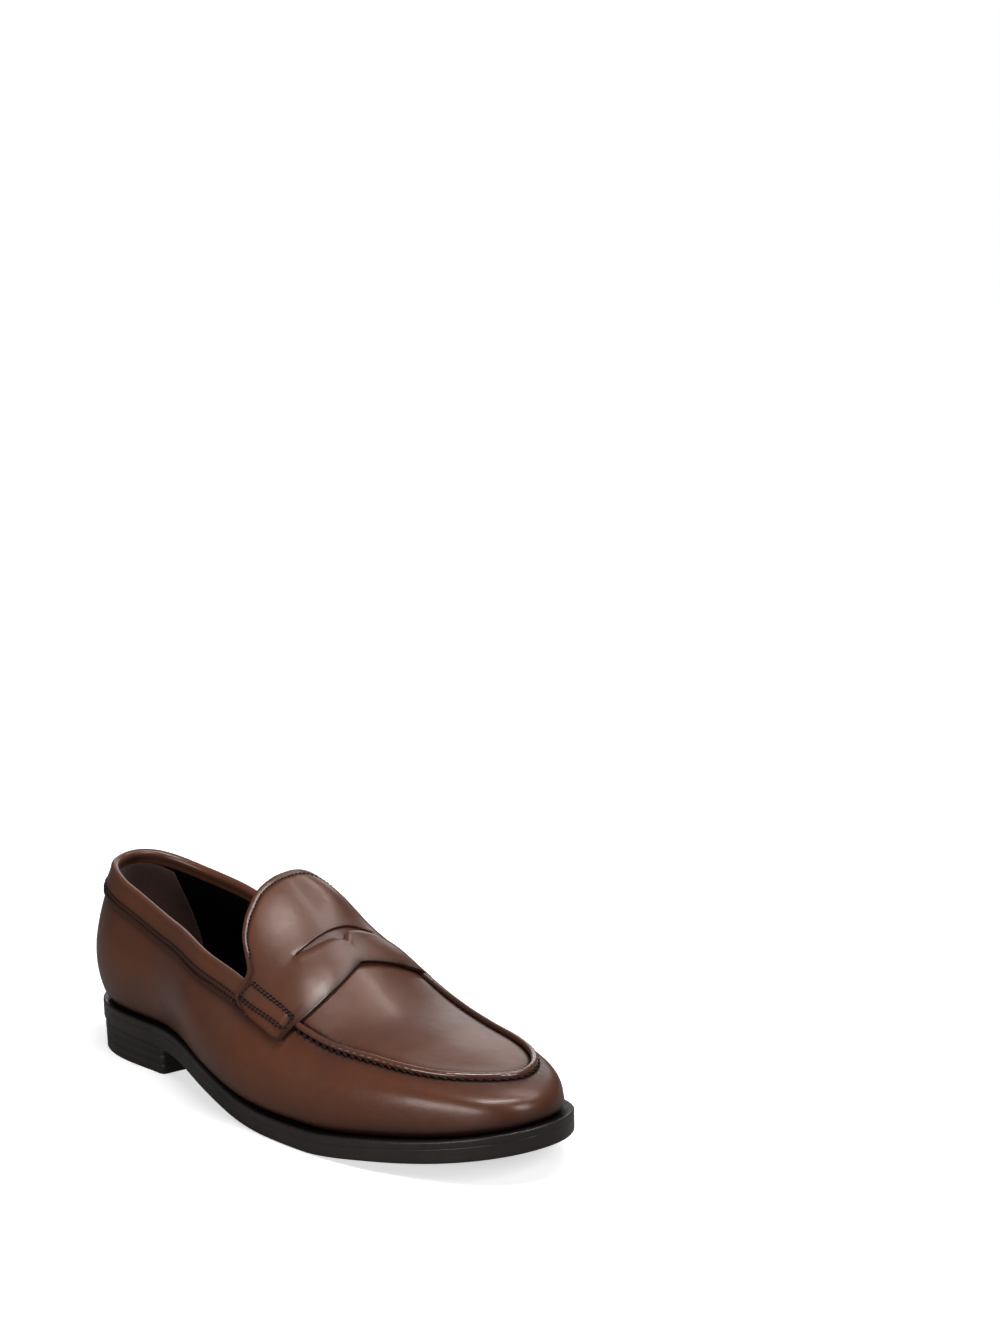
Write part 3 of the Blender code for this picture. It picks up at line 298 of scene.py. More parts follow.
def blend_weights(share):
    """Weights of a section's seven control points: a clamped cubic B-spline."""
    share = np.clip(np.asarray(share, float), 0, 1 - 1e-12)
    knots = np.concatenate([np.zeros(3), np.linspace(0, 1, 5), np.ones(3)])
    weights = [((share >= a) & (share < b)).astype(float) for a, b in zip(knots[:-1], knots[1:])]
    for degree in (1, 2, 3):
        raised = []
        for i in range(len(weights) - 1):
            total = np.zeros_like(share)
            if knots[i + degree] > knots[i]:
                total = total + (share - knots[i]) / (knots[i + degree] - knots[i]) * weights[i]
            if knots[i + degree + 1] > knots[i + 1]:
                rest = (knots[i + degree + 1] - share) / (knots[i + degree + 1] - knots[i + 1])
                total = total + rest * weights[i + 1]
            raised.append(total)
        weights = raised
    return np.stack(weights, -1)


def last_point(turn, share):
    """Points of the last, for arrays of turns and shares of one shape."""
    turn, share = np.broadcast_arrays(np.asarray(turn, float), np.asarray(share, float))
    feather = along_ring(FEATHER, turn)
    section = interpolate(SECTIONS, feather[..., 0])
    ones = np.ones(turn.shape + (1,))
    inner = (turn % 1.0 > TIP / FINE) * interpolate(INNER_SWELL, feather[..., 0])
    swell = 1 + inner[..., None] * np.array(SWELL_SHARES)
    widths = np.concatenate([ones, section[..., :5] * swell, 0 * ones], -1)
    heights = np.concatenate([0 * ones, section[..., 5:], ones], -1)
    weights = blend_weights(share)
    middle = spine(feather[..., 0])
    reach = feather - middle
    plan = middle + reach * (widths * weights).sum(-1)[..., None]
    tall = interpolate(RIDGE_HEIGHT, feather[..., 0]) - feather_height(feather[..., 0], feather[..., 1])
    height = interpolate(RIDGE_HEIGHT, plan[..., 0]) - tall * (1 - (heights * weights).sum(-1))
    # The two sides would meet at a slight edge on the ridge; this rounds it.
    slope = (1 - section[..., 9]) * tall / (widths[..., 5] * np.linalg.norm(reach, axis=-1))
    away = np.linalg.norm(plan - middle, axis=-1)
    height = height + slope * away * np.exp(-away / RIDGE_ROUNDING)
    return np.concatenate([plan, height[..., None]], -1)


def last_normal(turn, share):
    turn = np.asarray(turn, float)
    share = np.clip(np.asarray(share, float), 0.0, 0.985)
    low = np.clip(share - 0.01, 0, 1)
    high = share + 0.01
    round_it = last_point(turn + 0.0015, share) - last_point(turn - 0.0015, share)
    return unit(np.cross(round_it, last_point(turn, high) - last_point(turn, low)))


def share_along(turn, share, distance):
    """The share reached by going this far up the surface from a share."""
    turn = np.asarray(turn, float)
    share = np.asarray(share, float) + 0 * turn
    steps = 4
    for _ in range(steps):
        ahead = last_point(turn, share + 0.01) - last_point(turn, share - 0.01)
        share = share + distance / steps / (np.linalg.norm(ahead, axis=-1) / 0.02)
    return share


def topline_ring():
    """The topline's share at FINE even turns, faired along the ring."""
    x = FEATHER[:, 0]
    both = interpolate(TOPLINE, x)
    own = np.where(np.arange(FINE) < TIP, both[:, 0], both[:, 1])
    mix = smooth_step((x + 2) / 14)
    share = both.mean(-1) * (1 - mix) + own * mix
    reach = np.arange(-70, 71)
    weights = bump(reach, 32.0)
    weights = weights / weights.sum()
    return sum(w * np.roll(share, k) for w, k in zip(weights, reach))


TOPLINE_RING = topline_ring()[:, None]


def topline_share(turn):
    return along_ring(TOPLINE_RING, turn)[..., 0]


SEAM_LOOP = spline(APRON_SEAM, 500, closed=False)


def inside(outline, points):
    a = outline
    b = np.roll(outline, -1, 0)
    x = points[..., 0, None]
    y = points[..., 1, None]
    crosses = (a[:, 1] > y) != (b[:, 1] > y)
    span = np.where(np.abs(b[:, 1] - a[:, 1]) < 1e-9, 1e-9, b[:, 1] - a[:, 1])
    hit = x < a[:, 0] + (y - a[:, 1]) * (b[:, 0] - a[:, 0]) / span
    return (crosses & hit).sum(-1) % 2 == 1


def raw_seam_share(turn):
    low = np.full(np.shape(turn), 0.35)
    high = np.full(np.shape(turn), 1.0)
    for _ in range(24):
        middle = (low + high) / 2
        within = inside(SEAM_LOOP, last_point(turn, middle)[..., :2])
        high = np.where(within, middle, high)
        low = np.where(within, low, middle)
    return high


SEAM_TURNS = np.linspace(turn_at(158, -1), turn_at(158, 1), 900)
SEAM_SHARES = raw_seam_share(SEAM_TURNS)
for _ in range(6):
    SEAM_SHARES[1:-1] = (SEAM_SHARES[:-2] + 2 * SEAM_SHARES[1:-1] + SEAM_SHARES[2:]) / 4


def under_strap(turn):
    """1 in front of the strap, falling to 0 under it."""
    return smooth_step((feather_x(turn) - 166) / 12)


def seam_share(turn):
    """The share of the apron seam; behind the strap it runs over into the topline."""
    turn = np.asarray(turn, float)
    front = under_strap(turn)
    return topline_share(turn) * (1 - front) + np.interp(turn % 1.0, SEAM_TURNS, SEAM_SHARES) * front


# ---- the instep, by x and by the distance from the ridge, negative on the outer side ---------------
INSTEP_X = np.arange(112.0, 190.1, 1.0)
INSTEP_ARC = np.arange(-64.0, 64.1, 1.0)


def instep_table():
    shares = np.linspace(0.05, 1, 260)
    table = np.zeros((len(INSTEP_X), len(INSTEP_ARC), 3))
    for i, x in enumerate(INSTEP_X):
        outer = last_point(np.full(len(shares), turn_at(x, -1)), shares)
        inner = last_point(np.full(len(shares), turn_at(x, 1)), shares)
        path = np.vstack([outer, inner[-2::-1]])
        table[i] = along(path, path_lengths(path) - path_lengths(outer)[-1], INSTEP_ARC)
    return table


INSTEP_POINTS = instep_table()
INSTEP_NORMALS = unit(np.cross(np.gradient(INSTEP_POINTS, axis=0), np.gradient(INSTEP_POINTS, axis=1)))


def over_instep(x, arc, lift):
    """Points over the instep at a height above the last; the tongue's inner side stands a little off it."""
    x, arc, lift = np.broadcast_arrays(*(np.asarray(v, float) for v in (x, arc, lift)))
    across = smooth_step((arc + 2) / 20) * smooth_step((46 - arc) / 16)
    lift = lift + TONGUE_CROWN * across * smooth_step((156 - x) / 24)
    u = np.clip(x - INSTEP_X[0], 1, len(INSTEP_X) - 2.001)
    v = np.clip(arc - INSTEP_ARC[0], 1, len(INSTEP_ARC) - 2.001)
    i = u.astype(int)
    j = v.astype(int)
    a = cubic_weights(u - i)
    b = cubic_weights(v - j)
    result = np.zeros(x.shape + (3,))
    for m in range(4):
        for n in range(4):
            at = (i + m - 1, j + n - 1)
            weight = (a[..., m] * b[..., n])[..., None]
            result += weight * (INSTEP_POINTS[at] + INSTEP_NORMALS[at] * lift[..., None])
    return result


# ---- meshes --------------------------------------------------------------------------------------
def place(points):
    """Millimetres from the back of the outsole to metres in the frame."""
    return (np.asarray(points, float) - (ORIGIN_X, ORIGIN_Y, 0)) * MM


def grid_normals(grid, closed):
    """Unit normals of a grid of points (columns, rows, 3), to the left of the rows."""
    if closed:
        across = np.roll(grid, -1, 0) - np.roll(grid, 1, 0)
    else:
        across = np.gradient(grid, axis=0)
    return unit(np.cross(across, np.gradient(grid, axis=1)))


def new_object(name, vertices, faces, finish, values=None):
    """A smooth mesh piece. finish is a material and its slot; values holds one burnish_and_shade number per
    vertex: burnish and painted shade.
    """
    material, slot = finish
    data = bpy.data.meshes.new(name)
    data.from_pydata(place(vertices).tolist(), [], [tuple(int(k) for k in face) for face in faces])
    if values is not None:
        attribute = data.attributes.new("burnish_and_shade", "FLOAT", "POINT")
        attribute.data.foreach_set("value", np.asarray(values, np.float32).ravel())
    data.shade_smooth()
    data.materials.append(material)
    piece = bpy.data.objects.new(name, data)
    bpy.context.scene.collection.objects.link(piece)
    return piece


def grid_faces(columns, rows, closed_columns, closed_rows=False):
    index = np.arange(columns * rows).reshape(columns, rows)
    right = np.roll(index, -1, 0)
    up = np.roll(index, -1, 1)
    both = np.roll(right, -1, 1)
    faces = np.stack([index, right, both, up], -1)
    faces = faces if closed_columns else faces[:-1]
    faces = faces if closed_rows else faces[:, :-1]
    return faces.reshape(-1, 4)


def weld(piece, distance=0.04):
    modifier = piece.modifiers.new("weld", "WELD")
    modifier.merge_threshold = distance * MM
    return piece


def sheet(name, grid, thickness, finish, values=None, closed=False, skipped=None, edge=0.0):
    """A grid of points as a sheet with its thickness inwards, and its cut edges rounded by edge."""
    columns, rows = grid.shape[:2]
    faces = grid_faces(columns, rows, closed)
    if skipped is not None:
        faces = faces[~skipped[: columns - 1, : rows - 1].ravel()]
    piece = weld(new_object(name, grid.reshape(-1, 3), faces, finish, values))
    wall = piece.modifiers.new("thickness", "SOLIDIFY")
    wall.thickness = thickness * MM
    wall.offset = -1
    if edge:
        rounding = piece.modifiers.new("edges", "BEVEL")
        rounding.width = edge * MM
        rounding.segments = 3
        rounding.limit_method = "ANGLE"
        rounding.angle_limit = math.radians(50)
        rounding.use_clamp_overlap = True
    return piece


def loop_faces(stations, points, closed=False):
    """Faces of a solid made of closed cross-sections, capped at its ends unless it closes."""
    faces = grid_faces(stations, points, closed, True).tolist()
    if not closed:
        faces.append(list(range(points)))
        faces.append(list(range((stations - 1) * points, stations * points))[::-1])
    return faces


def loop_solid(name, sections, finish, values, closed=False):
    """A solid from closed cross-sections (stations, points, 3)."""
    faces = loop_faces(*sections.shape[:2], closed)
    return new_object(name, sections.reshape(-1, 3), faces, finish, values)


def frames(path, normals):
    """Unit normal and side vectors along a path; the side is tangent x normal."""
    tangent = unit(np.gradient(path, axis=0))
    side = unit(np.cross(tangent, normals))
    return np.cross(side, tangent), side


def tube(path, side, normal, radius, sides):
    """Rings of points round a path; radius is a number or an array that fits (stations, sides)."""
    around = np.linspace(0, 2 * math.pi, sides, endpoint=False)[:, None]
    rings = side[:, None] * np.cos(around) + normal[:, None] * np.sin(around)
    return path[:, None] + rings * np.broadcast_to(radius, rings.shape[:2])[..., None]


def stitches(name, rows, finish, radius, sides=6, line=0.0):
    """Separate stitches, over a thin sunk thread of radius line where that isn't 0.

    rows holds (points, normals, pitch, length, slant, rise) for each row of them.
    """
    t = np.linspace(-1, 1, 7)
    thick = radius * np.sqrt(np.clip(1 - (t * 0.93) ** 4, 0.05, 1))[:, None]
    bodies = []
    for points, normals, pitch, length, slant, rise in rows:
        lengths = path_lengths(points)
        total = lengths[-1]
        number = max(1, int(round(total / pitch)))
        normal_all, side_all = frames(points, normals)
        if line:
            bodies.append(tube(points - normal_all * 0.3 * line, side_all, normal_all, line, 6))
        for middle in (np.arange(number) + 0.5) * total / number:
            reached = np.clip(middle + t * length / 2 * math.cos(slant), 0, total)
            normal = unit(along(normal_all, lengths, reached))
            side = unit(along(side_all, lengths, reached))
            centre = along(points, lengths, reached) + side * (t * length / 2 * math.sin(slant))[:, None]
            centre = centre + normal * (rise * (1 - 1.9 * np.abs(t) ** 3))[:, None]
            tangent = unit(np.gradient(centre, axis=0))
            u = unit(np.cross(tangent, normal))
            bodies.append(tube(centre, u, np.cross(u, tangent), thick, sides))
    faces = []
    count = 0
    for body in bodies:
        faces += [[k + count for k in face] for face in loop_faces(*body.shape[:2])]
        count += body.shape[0] * body.shape[1]
    return new_object(name, np.vstack([body.reshape(-1, 3) for body in bodies]), faces, finish)


# ---- materials -----------------------------------------------------------------------------------
class Graph:
    """A material with short calls for its nodes."""

    def __init__(self, name):
        self.material = bpy.data.materials.new(name)
        self.material.use_nodes = True
        self.tree = self.material.node_tree
        self.shader = self.tree.nodes["Principled BSDF"]
        self.coordinates = self.tree.nodes.new("ShaderNodeTexCoord").outputs["Object"]

    def set(self, **inputs):
        for key, value in inputs.items():
            self.connect(self.shader.inputs[key.replace("_", " ")], value)

    def connect(self, socket, value):
        if isinstance(value, bpy.types.NodeSocket):
            self.tree.links.new(value, socket)
        elif hasattr(value, "__len__") and len(value) == 3 and socket.type == "RGBA":
            socket.default_value = (*value, 1)
        else:
            socket.default_value = value

    def node(self, kind, inputs, output=0, **settings):
        node = self.tree.nodes.new("ShaderNode" + kind)
        for key, value in settings.items():
            setattr(node, key, value)
        for key, value in inputs.items():
            self.connect(node.inputs[key], value)
        return node.outputs[output]

    def noise(self, scale, detail, roughness=0.55, vector=None):
        inputs = {"Vector": vector or self.coordinates, "Scale": scale}
        return self.node("TexNoise", {**inputs, "Detail": detail, "Roughness": roughness}, "Fac")

    def patches(self, scale, detail, low, high, roughness=0.55):
        """Soft patches of noise between 0 and 1."""
        return self.remap(self.noise(scale, detail, roughness), low, high, 0, 1)

    def attribute(self, name):
        return self.node("Attribute", {}, "Fac", attribute_name=name)

    def plus(self, a, b):
        return self.node("Math", {0: a, 1: b}, operation="ADD")

    def times(self, a, b):
        return self.node("Math", {0: a, 1: b}, operation="MULTIPLY")

    def remap(self, value, low, high, out_low, out_high):
        inputs = {"Value": value, "From Min": low, "From Max": high, "To Min": out_low, "To Max": out_high}
        return self.node("MapRange", inputs, "Result", interpolation_type="SMOOTHSTEP")

    def mix(self, factor, a, b):
        node = self.tree.nodes.new("ShaderNodeMix")
        node.data_type = "RGBA"
        self.connect(node.inputs["Factor"], factor)
        self.connect(node.inputs[6], a)
        self.connect(node.inputs[7], b)
        return node.outputs[2]

    def bump(self, height, distance, strength, normal=None):
        inputs = {"Height": height, "Distance": distance, "Strength": strength}
        if normal is not None:
            inputs["Normal"] = normal
        return self.node("Bump", inputs, "Normal")


def shaded(colour, by):
    return tuple(c * by for c in colour)


def leather(name, body, warm, dark, roughness=0.30, coat=0.12, grain=1.0, gloss=0.42):
    """Polished calf: mottled dye, fine pores and a light coat, darker where the burnish_and_shade attribute
    says: burnished edges and painted shade.
    """
    g = Graph(name)
    burnish_and_shade = g.attribute("burnish_and_shade")
    mottle = g.patches(160, 4, 0.35, 0.7, 0.6)
    colour = g.mix(g.patches(21, 2, 0.38, 0.66), body, warm)
    colour = g.mix(g.times(mottle, 0.12), colour, shaded(body, 1.35))
    colour = g.mix(g.times(g.patches(60, 2, 0.45, 0.75), 0.10), colour, dark)
    # Burnished edges, and painted shade in grooves, recesses and under edges, from the burnish_and_shade
    # attribute.
    colour = g.mix(burnish_and_shade, colour, dark)
    pores = g.node("TexVoronoi", {"Vector": g.coordinates, "Scale": 1500 / grain}, "Distance")
    pores = g.times(g.remap(pores, 0.0, 0.35, 0, 1), 0.5)
    creases = g.times(g.noise(420 / grain, 5, 0.65), 0.9)
    normal = g.bump(g.plus(pores, creases), 0.00009 * grain, 0.55)
    normal = g.bump(g.noise(95, 2), 0.0005, 0.25, normal)
    rough = g.remap(mottle, 0, 1, roughness - 0.01, roughness + 0.03)
    g.set(Base_Color=colour, Roughness=g.plus(rough, g.times(burnish_and_shade, 0.08)), Normal=normal)
    g.set(Coat_Weight=coat, Coat_Roughness=0.2, Specular_IOR_Level=gloss, Specular_Tint=(1.0, 0.87, 0.81))
    return g.material


def thread_material(name, colour):
    g = Graph(name)
    wave = {"Vector": g.coordinates, "Scale": 900, "Distortion": 3}
    twist = g.node("TexWave", wave, "Fac", bands_direction="DIAGONAL")
    # The twist's bands are painted shade and painted highlight: darker and lighter copies of the thread's
    # colour.
    shade = g.mix(twist, shaded(colour, 0.6), shaded(colour, 1.5))
    g.set(Base_Color=shade, Roughness=0.7, Normal=g.bump(twist, 0.0001, 0.6), Specular_IOR_Level=0.2)
    return g.material


def rubber(name, colour, light, roughness=0.42):
    """Moulded and painted sole edge, with faint scuffs and fine lines along it."""
    g = Graph(name)
    fine = g.noise(700, 4, 0.6)
    shade = g.mix(g.times(g.patches(38, 3, 0.35, 0.7), 0.7), colour, light)
    shade = g.mix(g.times(g.remap(fine, 0.4, 0.75, 0, 1), 0.35), shade, light)
    # The burnish_and_shade attribute darkens the welt's top ledge: painted shade in the groove under the
    # upper.
    shade = g.mix(g.attribute("burnish_and_shade"), shade, shaded(colour, 0.35))
    lengthways = g.node("Mapping", {"Vector": g.coordinates, "Scale": (1, 1, 6)}, "Vector")
    lines = g.noise(260, 3, 0.6, lengthways)
    normal = g.bump(g.plus(g.times(fine, 0.5), lines), 0.0001, 0.6)
    rough = g.remap(g.noise(120, 3), 0.3, 0.7, roughness - 0.05, roughness + 0.08)
    g.set(Base_Color=shade, Roughness=rough, Normal=normal, Specular_IOR_Level=0.36)
    return g.material


def suede(name, colour, light):
    g = Graph(name)
    nap = g.noise(900, 6, 0.7)
    shade = g.mix(g.patches(70, 3, 0.35, 0.7), colour, light)
    shade = g.mix(g.times(nap, 0.5), shade, shaded(colour, 0.6))
    g.set(Base_Color=shade, Roughness=0.92, Normal=g.bump(nap, 0.0003, 0.7))
    g.set(Sheen_Weight=0.35, Sheen_Roughness=0.45)
    return g.material


# Every finish is a material and the name of its slot.
# Dark brown of burnished calf, also the colour of its painted shade and its dark patches.
BURNISH_AND_SHADE_BROWN = (0.020, 0.007, 0.005)
CALF = (leather("calf_leather", (0.084, 0.033, 0.021), (0.106, 0.035, 0.017), BURNISH_AND_SHADE_BROWN), "calf")
BEAD = (
    leather("calf_bead", (0.082, 0.033, 0.022), (0.100, 0.035, 0.018), BURNISH_AND_SHADE_BROWN, 0.18, 0.5, 0.7, 0.6),
    "calf",
)
CALF_EDGE = (
    leather("calf_cut_edge", (0.175, 0.100, 0.075), (0.15, 0.08, 0.055), (0.05, 0.025, 0.02), 0.5, 0.0),
    "calf_edge",
)
LINING = (
    leather(
        "black_lining_leather", (0.0022, 0.0017, 0.0017), (0.003, 0.0024, 0.0024), (0.0012, 0.0012, 0.0012),
        0.72, 0.0, 1.0, 0.04,
    ),
    "black_lining",
)
SOCK = (
    leather(
        "sock_leather", (0.0075, 0.0060, 0.0055), (0.0088, 0.0068, 0.0062), (0.004, 0.003, 0.003),
        0.6, 0.0, 1.0, 0.12,
    ),
    "black_lining",
)
GRIP = (suede("heel_grip_suede", (0.060, 0.022, 0.014), (0.082, 0.032, 0.021)), "suede")
THREAD = (thread_material("dark_thread", (0.007, 0.0038, 0.0034)), "thread")
SEAM_THREAD = (thread_material("brown_thread", (0.022, 0.010, 0.008)), "thread")
RED_THREAD = (thread_material("oxblood_thread", (0.020, 0.0045, 0.0040)), "thread")
SOLE = (rubber("sole_edge", (0.0180, 0.0150, 0.0138), (0.0255, 0.0200, 0.0180), 0.31), "sole_rubber")
HEEL = (rubber("heel_stack", (0.0145, 0.0132, 0.0124), (0.022, 0.0195, 0.0185)), "heel_stack")


def ride(piece, *replaced):
    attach(piece, "root")
    if replaced:
        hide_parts(*replaced)


# ---- the upper -----------------------------------------------------------------------------------
def ring_turns(step_rear, step_front, start=0.0, end=1.0):
    """Turns spaced by about step mm along the feather line, finer in front of the strap."""
    dense = np.linspace(start, end, 6000)
    pitch = step_rear + (step_front - step_rear) * smooth_step((feather_x(dense) - 150) / 25)
    speed = np.linalg.norm(np.gradient(along_ring(FEATHER, dense), dense, axis=0), axis=1)
    wanted = np.concatenate([[0], np.cumsum((speed / pitch)[:-1] * np.diff(dense))])
    count = int(round(wanted[-1]))
    return np.interp(np.linspace(0, wanted[-1], count + 1), wanted, dense)


def paired_turns(step, start=None):
    """Turns whose outer and inner sides meet point for point on the spine.

    They go all the way round, or only from start forwards where that x is given.
    """
    rear = np.zeros(0)
    if start is None:
        rear = ring_turns(step, step, turn_at(HEEL_CENTRE_X, 1) - 1, turn_at(HEEL_CENTRE_X, -1))[1:-1]
        start = HEEL_CENTRE_X
    x = np.linspace(start, TOE_CENTRE_X, int((TOE_CENTRE_X - start) / step) + 1)
    front = ring_turns(step, step, turn_at(TOE_CENTRE_X, -1), turn_at(TOE_CENTRE_X, 1))[1:-1]
    return np.concatenate([rear, turn_at(x, -1), front, turn_at(x[::-1], 1)])


def seam_curve(count):
    """Points, normals and turns evenly along the apron seam, between the two sides of the strap."""
    turns = np.linspace(turn_at(SEAM_FROM_X, -1), turn_at(SEAM_FROM_X, 1), 1600)
    share = seam_share(turns)
    path = last_point(turns, share)
    lengths = path_lengths(path)
    wanted = np.linspace(0, lengths[-1], count)
    turns = np.interp(wanted, lengths, turns)
    path = along(path, lengths, wanted)
    normals = unit(along(last_normal(turns, seam_share(turns)), wanted, wanted))
    return path, normals, turns, wanted


def seam_wave(turn):
    """The angle that goes round once per stitch of the apron seam, at each turn."""
    _, _, turns, wanted = seam_curve(1200)
    return (2 * math.pi * np.interp(turn, turns, wanted) / SEAM_PITCH)[:, None]


def column_table(turns, low, high):
    """Surface distance up each column between two shares, and the shares there."""
    shares = low[:, None] + (high - low)[:, None] * np.linspace(0, 1, 120)
    points = last_point(turns[:, None], shares)
    steps = np.linalg.norm(np.diff(points, axis=1), axis=-1)
    arcs = np.concatenate([np.zeros((len(turns), 1)), np.cumsum(steps, 1)], 1)
    return arcs, shares


def shares_at(arcs, shares, wanted):
    return np.stack([np.interp(w, a, s) for w, a, s in zip(wanted, arcs, shares)])


def from_edge_on(turns, near, start, full, rest):
    """Distances for each column: the near ones, then shares of the way from start to full."""
    return np.concatenate([np.broadcast_to(near, (len(turns), len(near))), start + (full - start) * rest], 1)


def build_wall():
    """Vamp and quarters: smooth calf, gathered where it is stitched to the apron."""
    turns = ring_turns(2.2, 0.75)[:-1]
    front = under_strap(turns)[:, None]
    arcs, shares = column_table(turns, np.zeros(len(turns)), seam_share(turns))
    seam_gap = 1.2 * front
    full = arcs[:, -1:] - seam_gap
    near = np.concatenate([np.arange(0, 5, 0.5), np.arange(5, 12.1, 1.0)])
    down = from_edge_on(turns, near, 12, full, np.linspace(0, 1, 26)[1:] ** 0.95)[:, ::-1]
    foot = full - down
    below = down + seam_gap
    grid = last_point(turns[:, None], shares_at(arcs, shares, foot))
    wave = seam_wave(turns)
    gather = SEAM_GATHER * (0.75 + 0.25 * np.sin(wave * 0.37 + 1.3)) * bump(below - 4.2, 2.0) * np.cos(wave)
    lift = (gather - SEAM_DIP * bump(below, 2.2)) * front - 1.6 * bump(foot, 1.6)
    grid = grid + grid_normals(grid, True) * lift[..., None]
    under = [over_feather(inside_ring(FEATHER, turns, inset), 0.1) for inset in (9.0, 5.0, 3.0)]
    # Darker towards the sole: a burnished finish that also paints the shade in the crease above the welt.
    burnish_and_shade = 0.80 * bump(foot, 5.0) + 0.35 * bump(foot, 14.0)
    # Painted shade in the groove under the apron seam's bead, with some burnish.
    burnish_and_shade = burnish_and_shade + front * (0.55 * bump(below - 1.5, 2.4) + 0.50 * bump(below - 1, 7.5))
    collar = interpolate(COLLAR_WIDTH, feather_x(turns))[:, None]
    # Painted shade just under the collar band's lower edge.
    burnish_and_shade = burnish_and_shade + (1 - front) * 0.55 * bump(down - collar, 2.5)
    # Darker round the back of the heel and towards the toe.
    burnish_and_shade = burnish_and_shade + 0.25 * bump(np.minimum(turns, 1 - turns)[:, None] * RING_LENGTH, 26)
    burnish_and_shade = burnish_and_shade + 0.12 * smooth_step((grid[..., 0] - 262) / 30)
    # The three rows tucked in over the welt are painted fully dark: painted shade.
    burnish_and_shade = np.concatenate([np.ones((len(turns), 3)), np.clip(burnish_and_shade, 0, 0.95)], 1)
    grid = np.concatenate([np.stack(under, 1), grid], 1)
    ride(sheet("vamp_leather", grid, 1.3, CALF, burnish_and_shade, closed=True), "vamp_wall")


def build_apron():
    """The top of the forepart, from its hem under the wall's edge to the ridge, on both sides."""
    hem = 3.2
    turns = paired_turns(1.1, 160)
    edge = share_along(turns, np.maximum(seam_share(turns), 0.6), -hem)
    arcs, shares = column_table(turns, edge, np.ones(len(turns)))
    near = np.concatenate([[-hem, -2.1, -1.1, -0.2, 0.5], np.arange(1.1, 5, 0.45), np.arange(5, 10, 0.9)])
    inward_by = from_edge_on(turns, near, 10.0, arcs[:, -1:] - hem, np.linspace(0, 1, 24))
    grid = last_point(turns[:, None], shares_at(arcs, shares, inward_by + hem))
    normal = grid_normals(grid, False)
    normal[:, -2:] = normal[:, -3:-2]
    lift = 0.16 * bump(inward_by - 5.5, 4.0) - SEAM_DIP * bump(inward_by - 0.6, 1.6)
    lift = lift + SEAM_GATHER * bump(inward_by - 3.2, 2.2) * np.cos(seam_wave(turns))
    hem_lift = -SEAM_DIP - smooth_step((0.9 - inward_by) / 1.2)
    lift = np.where(inward_by < 1, np.minimum(lift, hem_lift), lift)
    grid = grid + normal * lift[..., None]
    # Painted shade in the groove beside the seam's bead, with some burnish; the hem tucked under the bead is
    # painted dark as shade.
    burnish_and_shade = 0.80 * bump(inward_by - 1.0, 2.0) + 0.45 * bump(inward_by - 1, 5)
    burnish_and_shade = np.clip(np.maximum(burnish_and_shade, 0.9 * smooth_step(1.1 - inward_by)), 0, 0.9)
    ride(sheet("apron_leather", grid, 1.2, CALF, burnish_and_shade), "apron", "apron_lining")


def build_apron_seam():
    """The rolled edge of the apron and the heavy stitches that hold it."""
    path, normals, turns, wanted = seam_curve(620)
    normal, side = frames(path, normals)
    around = np.linspace(0, 2 * math.pi, 18, endpoint=False)
    lower = np.clip(np.cos(around - 0.5), 0, 1) ** 1.5
    tight = 0.5 + 0.5 * np.cos(2 * math.pi * wanted / SEAM_PITCH)
    radius = (1.62 - 0.07 * lower * tight[:, None]) * (1 + 0.015 * np.sin(wanted * 0.31))[:, None]
    rings = tube(path + normal * 0.95, side, normal, radius, len(around))
    # Painted shade on the bead's sides where it meets the leather, most on the apron's side.
    burnish_and_shade = 0.25 * np.clip(np.cos(around - 0.15), 0, 1) ** 3 + 0.75 * np.clip(-np.cos(around), 0, 1) ** 2
    burnish_and_shade = np.broadcast_to(np.clip(burnish_and_shade, 0, 0.9), rings.shape[:2])
    ride(loop_solid("apron_seam_bead", rings, BEAD, burnish_and_shade), "apron_seam_roll")

    def row(drop, lift, length, slant, rise):
        share = share_along(turns, seam_share(turns), -drop)
        across = last_normal(turns, share)
        return [(last_point(turns, share) + across * lift, across, SEAM_PITCH, length, slant, rise)]

    heavy = stitches("apron_seam_stitches", row(2.1, 0.25, 3.0, 0.36, 0.22), SEAM_THREAD, 0.48, sides=8)
    ride(heavy, "apron_seam_thread")
    ride(stitches("apron_inner_stitches", row(-2.1, -0.35, 2.3, 0.2, 0.12), THREAD, 0.30))


# ---- the saddle ----------------------------------------------------------------------------------
def side_share(arc):
    """How far towards the end of its tab a point is, from 0 on the ridge to 1."""
    return np.where(arc < 0, arc / SADDLE_ENDS[0], arc / SADDLE_ENDS[1])


def slot_mask(arc, margin):
    """1 along the slot, falling to 0 within a margin outside its ends."""
    beyond = np.maximum(SLOT_ENDS[0] - arc, arc - SLOT_ENDS[1])
    return smooth_step(1 - beyond / margin)


def rear_inset(x, arc):
    """Distance from the saddle's rear edge, square to it."""
    slope = interpolate(SADDLE_REAR, arc + 0.5) - interpolate(SADDLE_REAR, arc - 0.5)
    return (x - interpolate(SADDLE_REAR, arc)) / np.sqrt(1 + slope**2)


